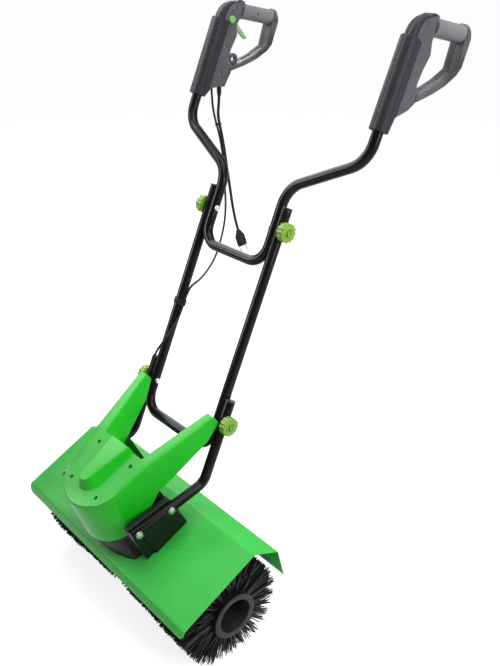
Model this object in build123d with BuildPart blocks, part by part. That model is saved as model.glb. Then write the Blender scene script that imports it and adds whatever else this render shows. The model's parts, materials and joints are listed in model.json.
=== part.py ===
from build123d import *
import os
from math import acos, atan2, cos, hypot, pi, radians, sin, tan

# Powered snow sweeper: two brush rollers under a bent sheet hood, a motor and worm gear on top,
# and a folding two-stage tube handle with D-shaped grips.
# Millimetres, +X to the operator's right, +Y forward, +Z up. The deck stands tipped forward.

os.makedirs("parts", exist_ok=True)

# Stance
deck_tilt = 25.7
axis_ahead = 206.12
run_gap = 0.3
fit_gap = 0.05

# Brush rollers
brush_r = 116.5
brush_rows = 16
tufts_per_row = 5
strands_per_tuft = 3
strand_w = 4.2
strand_t = 2.4
strand_step = 5.2
strand_splay = 7.0
strand_room = 16.0
strand_root = 0.5
flat_cut = 0.5
backing_r = 52.0
backing_t = 3.0
core_wall = 10.0
core_lip = 2.5
roller_in = 27.0
roller_out = 290.0
hub_r = 17.0
hub_len = 70.0
hub_pin_r = 3.0
web_t = 8.0
web_ribs = 6
rib_t = 4.0

# Hood sheet, in deck coordinates: forward and up from the roller axis
hood_half = 309.0
hood_t = 2.0
hood_top = 125.0
hood_front = 100.0
hood_rear = -100.0
lip_run = 12.0
lip_drop = 16.0
skirt_u = -146.0
skirt_v = 71.0
hem_u = -131.0
hem_v = -3.0
hood_bend = 9.0
lip_corner_r = 14.0

# Worm drive
drive_r = 8.0
drive_half = 112.0
wheel_teeth = 22
gear_module = 2.0
worm_r = 8.0
wheel_w = 9.0
tooth_thin = 0.37
worm_turns = 5
case_half = 23.0
case_wall = 5.0
flange_t = 4.5
flange_half = 50.0
flange_back = 42.0
flange_fore = 30.0
deck_bolt_r = 3.0
neck_half_u = 20.0
neck_top = 150.0
ball_r = 16.0
ball_w = 9.0
ball_in = 12.0
neck_ball_r = 14.0

# Motor, along the deck's normal
shaft_r = 6.0
journal_r = 4.0
armature_r = 21.0
armature_len = 45.0
armature_slots = 12
air_gap = 0.8
stator_r = 40.0
stator_v = 180.0
stator_grip = 25.0
commutator_r = 12.0
commutator_len = 16.0
fan_r = 34.0
fan_h = 12.0
fan_blades = 9
cup_wall = 3.0
cup_len = 42.0
small_ball_r = 11.0
small_ball_w = 7.0
carbon_w = 7.0
carbon_len = 20.0

# Base housing
floor_t = 6.0
base_wall = 4.0
base_rear = -66.0
base_side = 42.0
base_foot = (104.0, 98.0, 62.0, 85.0)
base_waist = (92.0, 72.0, 52.0, 84.0)
base_head = (86.0, 68.0, 46.0, 78.0)
waist_v = 168.0
base_top = 236.0
saddle_in = 102.5
saddle_root_in = 88.0
saddle_root_v = 180.0
saddle_over = 8.0
saddle_end = 15.0
saddle_fore = 45.0
saddle_round = 8.0
shelf_out = 6.0
shelf_gap = 1.0
shelf_back = 9.0
shelf_fore = 24.0
shelf_round = 9.0
shelf_edge_r = 4.0
bracket_bolt_deep = 15.0
post_r = 6.5
post_top = 250.0
screw_grip = 14.0

# Motor cover
cover_r = 86.0
cover_u = -8.0
cover_rim = 289.0
cover_draft = 7.0
cover_wall = 3.0
cover_rear = -78.0
cover_rear_half = 67.0
arm_tip_u = -237.0
arm_out = 134.0
arm_in = 108.0
arm_top = 304.0
rear_top = 300.0
front_top = 287.0
cover_low = 177.0
cover_edge = [
    (118.0, 170.0), (3.0, 191.0), (-59.0, 232.0), (-112.0, 242.0), (-197.0, 261.0), (-236.0, 283.0),
]
hump_front_r = 33.0
hump_front_u = 49.0
hump_half = 52.0
hump_top = 313.0
hump_draft = 28.0
cover_screws = [(48.0, 39.0), (60.0, -52.0)]
cover_screw_r = 2.2
cover_head_r = 4.0
cover_head_h = 3.0
recess_r = 4.4
recess_deep = 9.0

# Handle tubes
tube_r = 11.0
flat_off = 8.6
spot_off = 8.5
flat_reach = 62.0
leg_angle = 40.0
low_u = -247.0
low_v = 270.0
leg_span = 414.0
stack_step = 17.5
mid_x = 114.0
mid_bar_drop = 68.0
mid_over = 45.0
upper_bar_drop = 78.0
u_bend = 42.0
jog_low = 86.0
jog_high = 171.0
jog_bend = 58.0
grip_x = 270.0
upper_end = 372.0
bracket_over = 48.0
bracket_bend = 34.0
bracket_front = 15.0
bolt_front = (29.0, 221.0)
bolt_rear = (-51.0, 203.0)
plug_t = 3.0

# Bolts and knobs
bolt_r = 4.0
washer_r = 8.0
washer_t = 1.6
hex_r = 6.5
hex_h = 3.8
dome_r = 7.0
dome_h = 4.5
knob_r = 20.0
knob_t = 16.0
knob_lobes = 12
knob_flute_r = 3.0
knob_hub_r = 12.0
knob_hub_h = 1.5
knob_dish_r = 8.0
knob_seat = 3.0

# Grips, in stem coordinates: along the leg and rearward from the upper pivot
plate_half = 14.5
strap_half = 17.0
stem_half = 17.5
stem_corner = 14.0
stem_low = 229.0
stem_high = 404.0
stem_round = 3.0
lobe_right = [(232.0, 0.0), (232.0, 14.0), (252.0, 24.0), (262.0, 42.0), (268.0, 60.0), (307.0, 66.0)]
lobe_left = [(232.0, 0.0), (232.0, 14.0), (262.0, 18.0), (284.0, 46.0), (307.0, 63.0)]
guard_under = [(332.0, 97.0), (357.0, 126.0), (385.0, 150.0), (404.0, 159.0)]
strap_rear = [(458.0, 156.8), (470.0, 150.8), (466.0, 138.0), (444.0, 140.0)]
guard_over = [(396.0, 145.0), (366.0, 119.0), (340.0, 90.0), (319.0, 65.0)]
strap_foot = [(318.0, 52.0), (303.0, 57.0)]
spine_right = [(320.0, 64.0), (331.0, 47.0), (350.0, 46.0), (385.0, 51.0), (405.0, 41.0), (424.0, 46.0)]
spine_left = [(320.0, 64.0), (332.0, 47.0), (361.0, 50.0), (391.0, 57.0), (414.0, 48.0)]
rim_right = [(460.0, 46.0), (459.0, 31.0), (448.0, 17.0), (424.0, 8.0), (398.0, 4.0)]
rim_left = [(460.0, 46.0), (459.0, 31.0), (448.0, 17.0), (428.0, 21.0), (402.0, 14.0)]
head_half = 12.0
head_foot = (396.0, -9.0)
head_crown = (437.0, 0.0)
head_top = (455.0, 33.0)
head_back = 40.0
head_round = 7.0
outline_round = 4.5
grip_edge_r = 3.0
strap_edge_r = 2.0
bar_r = 17.0
bar_front = (439.0, 44.0)
bar_rear = (463.0, 147.0)
collar_out = 1.5
collar_to = 10.0
flange_out = 2.5
flange_from = 8.0
grip_screws = [(437.0, 24.0), (449.5, 90.0), (457.0, 147.0), (290.0, 36.0), (350.0, 27.0)]
grip_screw_r = 1.6
grip_head_r = 3.2
grip_head_h = 2.5
screw_seat = 9.0
screw_bite = 9.0
guard_slot = (352.0, 106.0)
slot_len = 34.0
slot_w = 7.0
hook_at = (335.5, 67.5)
hook_r = 13.0
hook_eye_r = 6.0
hook_half = 5.0

# Switch gear in the right grip
switch_at = (386.0, 18.0)
switch_len = 18.0
switch_deep = 16.0
switch_half = 8.0
button_at = (410.0, 20.0)
button_r = 8.0
button_out = 6.0
button_travel = 3.0
button_floor = 5.0
button_gap = 0.08
trigger_pivot = (409.0, 38.0)
trigger_tip = (391.0, 84.0)
trigger_half = 4.0
trigger_t = 6.5
trigger_hub_r = 6.0
trigger_room = (407.5, 47.0)
trigger_room_size = (33.0, 34.0)
pin_r = 2.0
pin_half = 10.0

# Supply and motor cords, as steps from where they leave the grip, the clip and the cover arm
lead_r = 2.6
lead_exit = (258.0, 33.0)
lead_bury = 20.0
lead_drop = [
    (0, 0, 18), (0, 0, -22), (1, -7, -67), (0, -21, -110), (-3, -28, -155), (-8, -28, -201),
    (-16, -24, -247), (-27, -16, -291), (-44, 5, -330), (-65, 38, -365),
]
lead_rise = [
    (83, -157, 43.5), (59, -123, 37.5), (35, -88, 35.5), (13, -54, 35), (0, -14.8, 32.8), (0, 0, 0),
]
lead_fall = [(0, 0, 0), (0, 11.9, -26.4), (1.7, 33.2, -54.1), (5.2, 56.8, -79.7), (10.2, 79.5, -105.7)]
lead_entry = [(115.0, -17.0, -2.0), (116.0, 15.0, -14.0)]
mains_r = 3.4
mains_exit = (267.0, 54.0)
mains_drop = [
    (0, 0, 2), (0, 0, -30), (-2.2, 7.6, -67), (-6.4, -0.7, -110), (-12, -5, -155), (-19, -6.5, -199),
    (-24.5, -10, -243), (-31, -12, -287), (-40, -15, -329), (-48, -19, -357),
]
relief_r = 5.5
relief_tip_r = 4.3
relief_len = 8.0
relief_gap = 0.2
relief_bury = 14.0
clip_along = 191.0
clip_gap = 1.6
clip_t = 2.2
clip_len = 14.0
tie_t = 1.6
tie_w = 3.0
plug_hold = 12.0
plug_neck_r = 5.0
plug_neck = 16.0
plug_w = 26.0
plug_d = 18.0
plug_len = 24.0
plug_pitch = 19.0
plug_pin_r = 2.4
plug_pin_root = 8.0
plug_root_r = 1.8
plug_pin_len = 19.0

rows_lift = cos(pi / brush_rows)
axis_h = brush_r * rows_lift - flat_cut
tilt = radians(deck_tilt)
lean = radians(leg_angle)

axis_point = Vector(0, axis_ahead, axis_h)
deck = Plane(origin=axis_point, x_dir=(1, 0, 0), z_dir=(0, sin(tilt), cos(tilt)))
side = Plane(origin=axis_point, x_dir=deck.y_dir, z_dir=(1, 0, 0))

leg_dir = deck.y_dir * -cos(lean) + deck.z_dir * sin(lean)
low_pivot = side.from_local_coords((low_u, low_v))
high_pivot = low_pivot + leg_dir * leg_span
stem_low_side = Plane(origin=low_pivot, x_dir=leg_dir, z_dir=(1, 0, 0))
stem_side = Plane(origin=high_pivot, x_dir=leg_dir, z_dir=(1, 0, 0))
handle = Plane(origin=low_pivot, x_dir=(1, 0, 0), z_dir=stem_low_side.y_dir)

motor_u = worm_r + gear_module * wheel_teeth / 2
motor = Plane(origin=side.from_local_coords((motor_u, 0)), x_dir=(1, 0, 0), z_dir=deck.z_dir)

upper_x = mid_x - stack_step
bracket_x = mid_x + stack_step


def keep(builder, name):
    builder.part.label = name
    export_step(builder.part, f"parts/{name}.step")
    return builder.part


def side_name(sign):
    return "right" if sign > 0 else "left"


def on_leg(x, along):
    return handle.from_local_coords((x, along))


def disc(plane, radius, height):
    with BuildSketch(plane) as round_face:
        Circle(radius)
    extrude(round_face.sketch, amount=height)


def cut_disc(plane, radius, height):
    with BuildSketch(plane) as round_face:
        Circle(radius)
    extrude(round_face.sketch, amount=height, mode=Mode.SUBTRACT)


def ring(plane, inner, outer, height):
    with BuildSketch(plane) as ring_face:
        Circle(outer)
        Circle(inner, mode=Mode.SUBTRACT)
    extrude(ring_face.sketch, amount=height)


# Hood: one bent sheet, open at both ends
hood_path = [
    (hood_front + lip_run, hood_top - lip_drop),
    (hood_front, hood_top),
    (hood_rear, hood_top),
    (skirt_u, skirt_v),
    (hem_u, hem_v),
]
deck_bolt_x = flange_half - 9
deck_bolts = [(sx * deck_bolt_x, motor_u + du) for sx in (-1, 1) for du in (-flange_back, flange_fore)]
with BuildPart() as hood:
    with BuildSketch(side.offset(-hood_half)):
        with BuildLine():
            FilletPolyline(*hood_path, radius=hood_bend)
            offset(amount=hood_t, side=Side.LEFT)
        make_face()
    extrude(amount=2 * hood_half)
    with BuildSketch(deck.offset(hood_top - 2 * hood_t)):
        with Locations((0, motor_u)):
            Rectangle(2 * (case_half + run_gap), 2 * (neck_half_u + run_gap))
        with Locations(*deck_bolts):
            Circle(deck_bolt_r + fit_gap)
    extrude(amount=4 * hood_t, mode=Mode.SUBTRACT)
    short_edges = hood.edges().filter_by(lambda edge: abs(edge.length - hood_t) < 0.01)
    fillet(short_edges.group_by(Axis(axis_point, deck.y_dir))[-1], lip_corner_r)
keep(hood, "hood")


# Worm gear case, split down the middle, with a flange under the hood and a neck through it
tip_r = gear_module * wheel_teeth / 2 + 0.9 * gear_module
wheel_room = tip_r + 2.5
worm_tip = worm_r + 0.9 * gear_module
worm_room = worm_tip + 1.5
worm_low = -(wheel_room - 4)
foot_ball_v = worm_low - small_ball_w
flange_v = hood_top - hood_t - flange_t
neck_ball_v = neck_top - ball_w - 2


def gear_case(sign):
    with BuildPart() as case:
        with BuildSketch(side):
            Circle(wheel_room + case_wall)
            with Locations((motor_u, foot_ball_v)):
                Circle(small_ball_r + case_wall)
            with Locations((motor_u, flange_v - neck_half_u)):
                Circle(neck_half_u)
            make_hull()
        extrude(amount=sign * case_half)
        with BuildSketch(deck.offset(flange_v)):
            with Locations((sign * flange_half / 2, motor_u - flange_back / 2 + flange_fore / 2)):
                RectangleRounded(flange_half, flange_back + flange_fore + 20, 4)
        extrude(amount=flange_t)
        with BuildSketch(deck.offset(flange_v - neck_half_u)):
            with Locations((sign * case_half / 2, motor_u)):
                Rectangle(case_half, 2 * neck_half_u)
        extrude(amount=neck_top - flange_v + neck_half_u)
        with BuildSketch(side):
            Circle(wheel_room)
        extrude(amount=sign * (wheel_w / 2 + 2), mode=Mode.SUBTRACT)
        cut_disc(side.offset(sign * ball_in), ball_r, sign * ball_w)
        cut_disc(side, drive_r + 1, sign * case_half)
        cut_disc(motor.offset(worm_low), worm_room, -2 * worm_low)
        cut_disc(motor.offset(foot_ball_v), small_ball_r, small_ball_w)
        cut_disc(motor.offset(foot_ball_v - 2), journal_r + 1, 2)
        cut_disc(motor.offset(-worm_low), shaft_r + 1, neck_top)
        cut_disc(motor.offset(neck_ball_v), neck_ball_r, ball_w)
        with BuildSketch(deck.offset(flange_v)):
            with Locations(*deck_bolts):
                Circle(deck_bolt_r + fit_gap)
        extrude(amount=flange_t, mode=Mode.SUBTRACT)
    return keep(case, f"gear_case_{side_name(sign)}")


for sign in (-1, 1):
    gear_case(sign)


with BuildPart() as shaft_bearings:
    for sign in (-1, 1):
        ring(side.offset(sign * ball_in), drive_r + fit_gap, ball_r - fit_gap, sign * ball_w)
keep(shaft_bearings, "shaft_bearings")

top_ball_v = stator_v + armature_len + cup_len - small_ball_w - 2
with BuildPart() as motor_bearings:
    ring(motor.offset(foot_ball_v), journal_r + fit_gap, small_ball_r - fit_gap, small_ball_w)
    ring(motor.offset(neck_ball_v), shaft_r + fit_gap, neck_ball_r - fit_gap, ball_w)
    ring(motor.offset(top_ball_v), journal_r + fit_gap, small_ball_r - fit_gap, small_ball_w)
keep(motor_bearings, "motor_bearings")


# Drive shaft and worm wheel
pin_at = roller_in + hub_len - 12


def hub_pin_plane(sign):
    return Plane(origin=axis_point + Vector(sign * pin_at, 0, -hub_r), z_dir=(0, 0, 1))


with BuildPart() as drive_shaft:
    disc(side.offset(-drive_half), drive_r, 2 * drive_half)
    for sign in (-1, 1):
        cut_disc(hub_pin_plane(sign), hub_pin_r, 2 * hub_r)
    chamfer(drive_shaft.edges().filter_by(GeomType.CIRCLE).group_by(Axis.X)[0], 1)
    chamfer(drive_shaft.edges().filter_by(GeomType.CIRCLE).group_by(Axis.X)[-1], 1)
keep(drive_shaft, "drive_shaft")

pitch = pi * gear_module
pitch_r = gear_module * wheel_teeth / 2
flank = tan(radians(20))
tooth_mid = tooth_thin * pitch
root_r = pitch_r - 1.25 * gear_module
root_w = tooth_mid / 2 + 1.25 * gear_module * flank
crest_w = tooth_mid / 2 - 0.9 * gear_module * flank
with BuildPart() as worm_wheel:
    with BuildSketch(side.offset(-wheel_w / 2)):
        Circle(root_r + 0.2)
        with PolarLocations(0, wheel_teeth):
            tooth = [(root_r - 1, -root_w), (tip_r, -crest_w), (tip_r, crest_w), (root_r - 1, root_w)]
            Polygon(*tooth, align=None)
        Circle(drive_r + fit_gap, mode=Mode.SUBTRACT)
    extrude(amount=wheel_w)
keep(worm_wheel, "worm_wheel")

worm_root = worm_r - 1.25 * gear_module
worm_start = -(worm_turns // 2 + 0.25) * pitch
worm_over = 0.6 * pitch
with BuildPart() as thread:
    with BuildLine() as thread_line:
        Helix(pitch=pitch, height=worm_turns * pitch, radius=worm_root)
    with BuildSketch(Plane(origin=thread_line.wire() @ 0, x_dir=(1, 0, 0), z_dir=(0, 1, 0))):
        crest = worm_tip - worm_root
        Polygon((-0.4, -root_w), (crest, -crest_w), (crest, crest_w), (-0.4, root_w), align=None)
    sweep(path=thread_line.wire(), is_frenet=True)
with BuildPart() as worm:
    add(thread.part.moved(motor.offset(worm_start).location))
    disc(motor.offset(worm_start - worm_over), worm_root, worm_turns * pitch + 2 * worm_over)
    cut_disc(motor.offset(worm_start - worm_over), journal_r + fit_gap, worm_turns * pitch + 2 * worm_over)
keep(worm, "worm")


# Motor: shaft, laminated core, commutator, fan, field ring, end cup and carbon brushes
core_v = stator_v
commutator_v = core_v + armature_len + 8
fan_v = stator_v - fan_h - 7
step_v = worm_start + worm_turns * pitch + worm_over
with BuildPart() as armature_shaft:
    disc(motor.offset(foot_ball_v), journal_r, step_v - foot_ball_v)
    disc(motor.offset(step_v), shaft_r, top_ball_v - step_v)
    disc(motor.offset(top_ball_v), journal_r, small_ball_w)
keep(armature_shaft, "armature_shaft")

with BuildPart() as armature_core:
    disc(motor.offset(core_v), armature_r, armature_len)
    with BuildSketch(motor.offset(core_v)):
        with PolarLocations(armature_r - 3, armature_slots):
            Rectangle(8, 2.4)
    extrude(amount=armature_len, mode=Mode.SUBTRACT)
    cut_disc(motor.offset(core_v), shaft_r + fit_gap, armature_len)
keep(armature_core, "armature_core")

with BuildPart() as commutator:
    ring(motor.offset(commutator_v), shaft_r + fit_gap, commutator_r, commutator_len)
    ring(motor.offset(commutator_v - 2), shaft_r + fit_gap, commutator_r + 2, 2)
keep(commutator, "commutator")

with BuildPart() as fan:
    disc(motor.offset(fan_v), fan_r, 2)
    disc(motor.offset(fan_v), shaft_r + 4, fan_h)
    with BuildSketch(motor.offset(fan_v)):
        with PolarLocations((fan_r + shaft_r) / 2 + 1, fan_blades):
            Rectangle(fan_r - shaft_r - 2, 1.8)
    extrude(amount=fan_h)
    cut_disc(motor.offset(fan_v), shaft_r + fit_gap, fan_h)
keep(fan, "fan")

with BuildPart() as stator:
    ring(motor.offset(stator_v), armature_r + air_gap, stator_r, armature_len)
keep(stator, "stator")

cup_v = stator_v + armature_len
with BuildPart() as end_cup:
    disc(motor.offset(cup_v), stator_r, cup_len)
    cut_disc(motor.offset(cup_v), stator_r - cup_wall, cup_len - small_ball_w - 2)
    cut_disc(motor.offset(top_ball_v), small_ball_r, small_ball_w)
    fillet(end_cup.edges().filter_by(GeomType.CIRCLE).group_by(Axis(axis_point, deck.z_dir))[-1], 3)
keep(end_cup, "end_cup")

carbon_v = commutator_v + commutator_len / 2
carbon_from = commutator_r + run_gap
holder_to = stator_r - cup_wall - 0.7
with BuildPart() as carbon_brushes:
    with Locations(motor.offset(carbon_v).location):
        for sign in (-1, 1):
            with Locations((sign * (carbon_from + carbon_len / 2), 0, 0)):
                Box(carbon_len, carbon_w, carbon_w)
keep(carbon_brushes, "carbon_brushes")

holder_from = commutator_r + 4
holder_mid = (holder_from + holder_to) / 2
with BuildPart() as brush_holders:
    with Locations(motor.offset(carbon_v).location):
        for sign in (-1, 1):
            with Locations((sign * holder_mid, 0, 0)):
                Box(holder_to - holder_from, carbon_w + 5, carbon_w + 5)
                slide = carbon_w + 2 * fit_gap
                Box(holder_to - holder_from, slide, slide, mode=Mode.SUBTRACT)
keep(brush_holders, "brush_holders")


# Brush rollers: hollow cores with a hub, and bristles fused to a faceted sleeve
core_r = backing_r - backing_t
bore_r = core_r - core_wall


def roller_core(sign):
    inner = side.offset(sign * roller_in)
    length = sign * (roller_out - roller_in)
    with BuildPart() as core:
        ring(inner, bore_r, core_r, length)
        disc(inner, bore_r + 1, sign * web_t)
        disc(inner, hub_r, sign * hub_len)
        with BuildSketch(inner):
            with PolarLocations((hub_r + bore_r) / 2, web_ribs):
                Rectangle(bore_r - hub_r + 4, rib_t)
        extrude(amount=sign * hub_len / 2)
        ring(side.offset(sign * (roller_out - core_lip)), bore_r, backing_r, sign * core_lip)
        cut_disc(inner, drive_r + fit_gap, sign * hub_len)
        cut_disc(hub_pin_plane(sign), hub_pin_r, 2 * hub_r)
    return keep(core, f"roller_core_{side_name(sign)}")


with BuildPart() as hub_pins:
    for sign in (-1, 1):
        disc(hub_pin_plane(sign), hub_pin_r - fit_gap, 2 * hub_r)
keep(hub_pins, "hub_pins")


def strand_places(sign):
    places = []
    room = (roller_out - core_lip - roller_in - strand_room) / tufts_per_row
    for row in range(brush_rows):
        turn = 2 * pi * (row + 0.5) / brush_rows
        out = Vector(0, sin(turn), -cos(turn))
        shift = room / 4 if row % 2 else -room / 4
        for tuft in range(tufts_per_row):
            middle = roller_in + strand_room / 2 + room * (tuft + 0.5) + shift
            for strand in range(strands_per_tuft):
                step = strand - (strands_per_tuft - 1) / 2
                splay = radians(strand_splay * step)
                root = axis_point + out * (backing_r - strand_root)
                root += Vector(sign * (middle + strand_step * step), 0, 0)
                way = out * cos(splay) + Vector(sign * sin(splay), 0, 0)
                across = Vector(cos(splay), 0, 0) - out * sign * sin(splay)
                places.append(Plane(origin=root, x_dir=across, z_dir=way).location)
    return places


def bristles(sign):
    inner = side.offset(sign * roller_in)
    strand_len = brush_r - backing_r + strand_root
    with BuildPart() as brush:
        with BuildSketch(Plane(origin=inner.origin, x_dir=(0, 1, 0), z_dir=(1, 0, 0))):
            RegularPolygon(backing_r, brush_rows, major_radius=False, rotation=180 / brush_rows)
            Circle(core_r + fit_gap, mode=Mode.SUBTRACT)
        extrude(amount=sign * (roller_out - core_lip - roller_in))
        with Locations(*strand_places(sign)):
            Box(strand_w, strand_t, strand_len, align=(Align.CENTER, Align.CENTER, Align.MIN))
        with Locations((0, axis_ahead, 0)):
            below = (Align.CENTER, Align.CENTER, Align.MAX)
            Box(4 * hood_half, 4 * brush_r, 2 * brush_r, align=below, mode=Mode.SUBTRACT)
    return keep(brush, f"bristles_{side_name(sign)}")


for sign in (-1, 1):
    roller_core(sign)
    bristles(sign)


# Base housing: lofted walls on the hood, saddles for the bracket tubes, a ring for the motor, cover posts
def base_plan(sizes, wall):
    half, corner_x, corner_u, front = [size - wall for size in sizes]
    rear = base_rear + wall
    with BuildLine() as edge:
        Polyline(
            (-corner_x, corner_u), (-half, corner_u - base_side), (-half, rear),
            (half, rear), (half, corner_u - base_side), (corner_x, corner_u),
        )
        ThreePointArc((corner_x, corner_u), (0, front), (-corner_x, corner_u))
    make_face(edge.edges())


def rim_height(u):
    slope = (rear_top - front_top) / (cover_u + cover_r - cover_rear)
    return front_top + slope * (cover_u + cover_r - u)


saddle_out = bracket_x - tube_r - fit_gap
run_len = hypot(bolt_front[0] - bolt_rear[0], bolt_front[1] - bolt_rear[1])
run_u = (bolt_front[0] - bolt_rear[0]) / run_len
run_v = (bolt_front[1] - bolt_rear[1]) / run_len


def beside_run(bolt, ahead, above):
    return (bolt[0] + run_u * ahead - run_v * above, bolt[1] + run_v * ahead + run_u * above)


floor_part = floor_t / (waist_v - hood_top)
base_floor = [low + (high - low) * floor_part for low, high in zip(base_foot, base_waist)]
saddle_over_pts = [
    beside_run(bolt_rear, -saddle_end, saddle_over),
    beside_run(bolt_front, saddle_end, saddle_over),
]
shelf_pts = [
    beside_run(bolt_rear, -saddle_end, -tube_r - shelf_gap),
    beside_run(bolt_front, -shelf_back, -tube_r - shelf_gap),
]


def base_shelf(sign):
    with BuildPart() as shelf:
        with BuildSketch(side.offset(sign * saddle_out)) as face:
            Polygon((base_rear - 2, hood_top), *shelf_pts, (shelf_fore, hood_top), align=None)
            fillet(face.vertices().sort_by(Axis.Y)[-2:], shelf_round)
        extrude(amount=sign * shelf_out)
        outer = shelf.faces().filter_by(Axis.X).sort_by(Axis.X)[-1 if sign > 0 else 0]
        fillet(outer.edges().sort_by(Axis(axis_point, deck.z_dir))[1:], shelf_edge_r)
    return shelf.part


with BuildPart() as base_housing:
    with BuildSketch(deck.offset(hood_top)):
        base_plan(base_foot, 0)
    with BuildSketch(deck.offset(waist_v)):
        base_plan(base_waist, 0)
    with BuildSketch(deck.offset(base_top)):
        base_plan(base_head, 0)
    loft(ruled=True)
    with BuildSketch(deck.offset(hood_top + floor_t)):
        base_plan(base_floor, base_wall)
    with BuildSketch(deck.offset(waist_v)):
        base_plan(base_waist, base_wall)
    with BuildSketch(deck.offset(base_top)):
        base_plan(base_head, base_wall)
    loft(ruled=True, mode=Mode.SUBTRACT)
    for sign in (-1, 1):
        with BuildSketch(side.offset(sign * saddle_in)) as saddle:
            Polygon((base_rear - 2, hood_top), *saddle_over_pts, (saddle_fore, hood_top), align=None)
            fillet(saddle.vertices().sort_by(Axis.Y)[-2:], saddle_round)
        extrude(amount=sign * (saddle_out - saddle_in))
        with BuildSketch(side.offset(sign * saddle_root_in)):
            Polygon(
                (base_rear, hood_top), (base_rear, saddle_root_v),
                (saddle_fore - 6, saddle_root_v), (saddle_fore, hood_top), align=None,
            )
        extrude(amount=sign * (saddle_in - saddle_root_in))
        add(base_shelf(sign))
        for bolt in (bolt_front, bolt_rear):
            hole = Plane(origin=side.from_local_coords((*bolt, sign * saddle_out)), z_dir=(-sign, 0, 0))
            cut_disc(hole, bolt_r + fit_gap, bracket_bolt_deep)
    ring(motor.offset(hood_top + floor_t), fan_r + 3, stator_r + base_wall, stator_v - hood_top - floor_t)
    ring(motor.offset(stator_v), stator_r + fit_gap, stator_r + base_wall, stator_grip)
    for x, u in cover_screws:
        for sign in (-1, 1):
            foot = Plane(origin=deck.from_local_coords((sign * x, u, hood_top + 1)), z_dir=deck.z_dir)
            disc(foot, post_r, post_top - hood_top - 1)
            cut_disc(foot.offset(post_top - hood_top - 1), cover_screw_r + fit_gap, -screw_grip)
    with BuildSketch(deck.offset(hood_top)):
        with Locations((0, motor_u)):
            Rectangle(2 * (case_half + run_gap), 2 * (neck_half_u + run_gap))
        with Locations(*deck_bolts):
            Circle(deck_bolt_r + fit_gap)
    extrude(amount=floor_t, mode=Mode.SUBTRACT)
keep(base_housing, "base_housing")

with BuildPart() as deck_screws:
    for x, u in deck_bolts:
        foot = Plane(origin=deck.from_local_coords((x, u, flange_v)), x_dir=(1, 0, 0), z_dir=deck.z_dir)
        disc(foot, deck_bolt_r, hood_top + floor_t - flange_v)
        with BuildSketch(foot.offset(hood_top + floor_t - flange_v)):
            RegularPolygon(deck_bolt_r + 2, 6)
        extrude(amount=4)
keep(deck_screws, "deck_bolts")


# Motor cover: drafted shell with a rounded nose, two arms to the handle joints and a raised hump
def tangent_from(tip, radius, middle_u):
    reach = hypot(tip[0], tip[1] - middle_u)
    turn = atan2(tip[1] - middle_u, tip[0]) + acos(radius / reach)
    return (radius * cos(turn), middle_u + radius * sin(turn))


def cover_plan(inset):
    touch = tangent_from((arm_out, arm_tip_u), cover_r, cover_u)
    with BuildLine() as edge:
        Line((arm_out, arm_tip_u), touch)
        ThreePointArc(touch, (0, cover_u + cover_r), (-touch[0], touch[1]))
        Polyline(
            (-touch[0], touch[1]), (-arm_out, arm_tip_u), (-arm_in, arm_tip_u),
            (-cover_rear_half, cover_rear), (cover_rear_half, cover_rear),
            (arm_in, arm_tip_u), (arm_out, arm_tip_u),
        )
    make_face(edge.edges())
    if inset:
        offset(amount=-inset, kind=Kind.INTERSECTION)


def cover_mass(inset, low):
    with BuildSketch(deck.offset(cover_rim)) as plan:
        cover_plan(inset)
    extrude(plan.sketch, amount=-(cover_rim - low), taper=-cover_draft)
    extrude(plan.sketch, amount=hump_top - cover_rim, taper=cover_draft)


def hump_mass(inset, low):
    middle_u = hump_front_u - hump_front_r
    tail = (hump_half - inset, cover_rear - 30)
    touch = tangent_from(tail, hump_front_r - inset, middle_u)
    with BuildSketch(deck.offset(low)) as plan:
        with BuildLine():
            Line(tail, touch)
            ThreePointArc(touch, (0, hump_front_u - inset), (-touch[0], touch[1]))
            Polyline((-touch[0], touch[1]), (-tail[0], tail[1]), tail)
        make_face()
    extrude(plan.sketch, amount=hump_top - inset - low, taper=hump_draft)
    back_face = Plane(origin=side.from_local_coords((cover_rear + inset, 0)), z_dir=deck.y_dir)
    split(bisect_by=back_face, keep=Keep.TOP)


nose_u = cover_u + cover_r + 40
with BuildPart() as hump:
    hump_mass(0, front_top - 5)
with BuildPart() as hump_room:
    hump_mass(cover_wall, front_top - 15)
with BuildPart() as cover_room:
    cover_mass(cover_wall, cover_low - 60)
    with BuildSketch(side.offset(-2 * arm_out)):
        with BuildLine():
            Polyline(
                (nose_u, cover_low - 50), (arm_tip_u + 5, cover_low - 50),
                (arm_tip_u + 5, arm_top - cover_wall), (cover_rear, rear_top - cover_wall),
                (nose_u, rim_height(nose_u) - cover_wall), close=True,
            )
        make_face()
    extrude(amount=4 * arm_out, mode=Mode.INTERSECT)

with BuildPart() as motor_cover:
    cover_mass(0, cover_low - 40)
    with BuildSketch(side.offset(-2 * arm_out)):
        with BuildLine():
            Polyline(
                *cover_edge, (arm_tip_u - 20, arm_top), (cover_rear, rear_top), (nose_u, rim_height(nose_u)),
                close=True,
            )
        make_face()
    extrude(amount=4 * arm_out, mode=Mode.INTERSECT)
    add(hump.part)
    add(cover_room.part, mode=Mode.SUBTRACT)
    add(hump_room.part, mode=Mode.SUBTRACT)
    for x, u in cover_screws:
        for sign in (-1, 1):
            boss = Plane(origin=deck.from_local_coords((sign * x, u, post_top)), z_dir=deck.z_dir)
            seat = rim_height(u) - recess_deep - post_top
            disc(boss, post_r, rim_height(u) - 1 - post_top)
            cut_disc(boss, cover_screw_r + fit_gap, seat)
            cut_disc(boss.offset(seat), recess_r, 2 * recess_deep)
    way_in, way_end = [deck.from_local_coords((x, arm_tip_u + du, arm_top + dv)) for x, du, dv in lead_entry]
    cut_disc(Plane(origin=way_end, z_dir=way_in - way_end), lead_r + run_gap, 40)
keep(motor_cover, "motor_cover")

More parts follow.
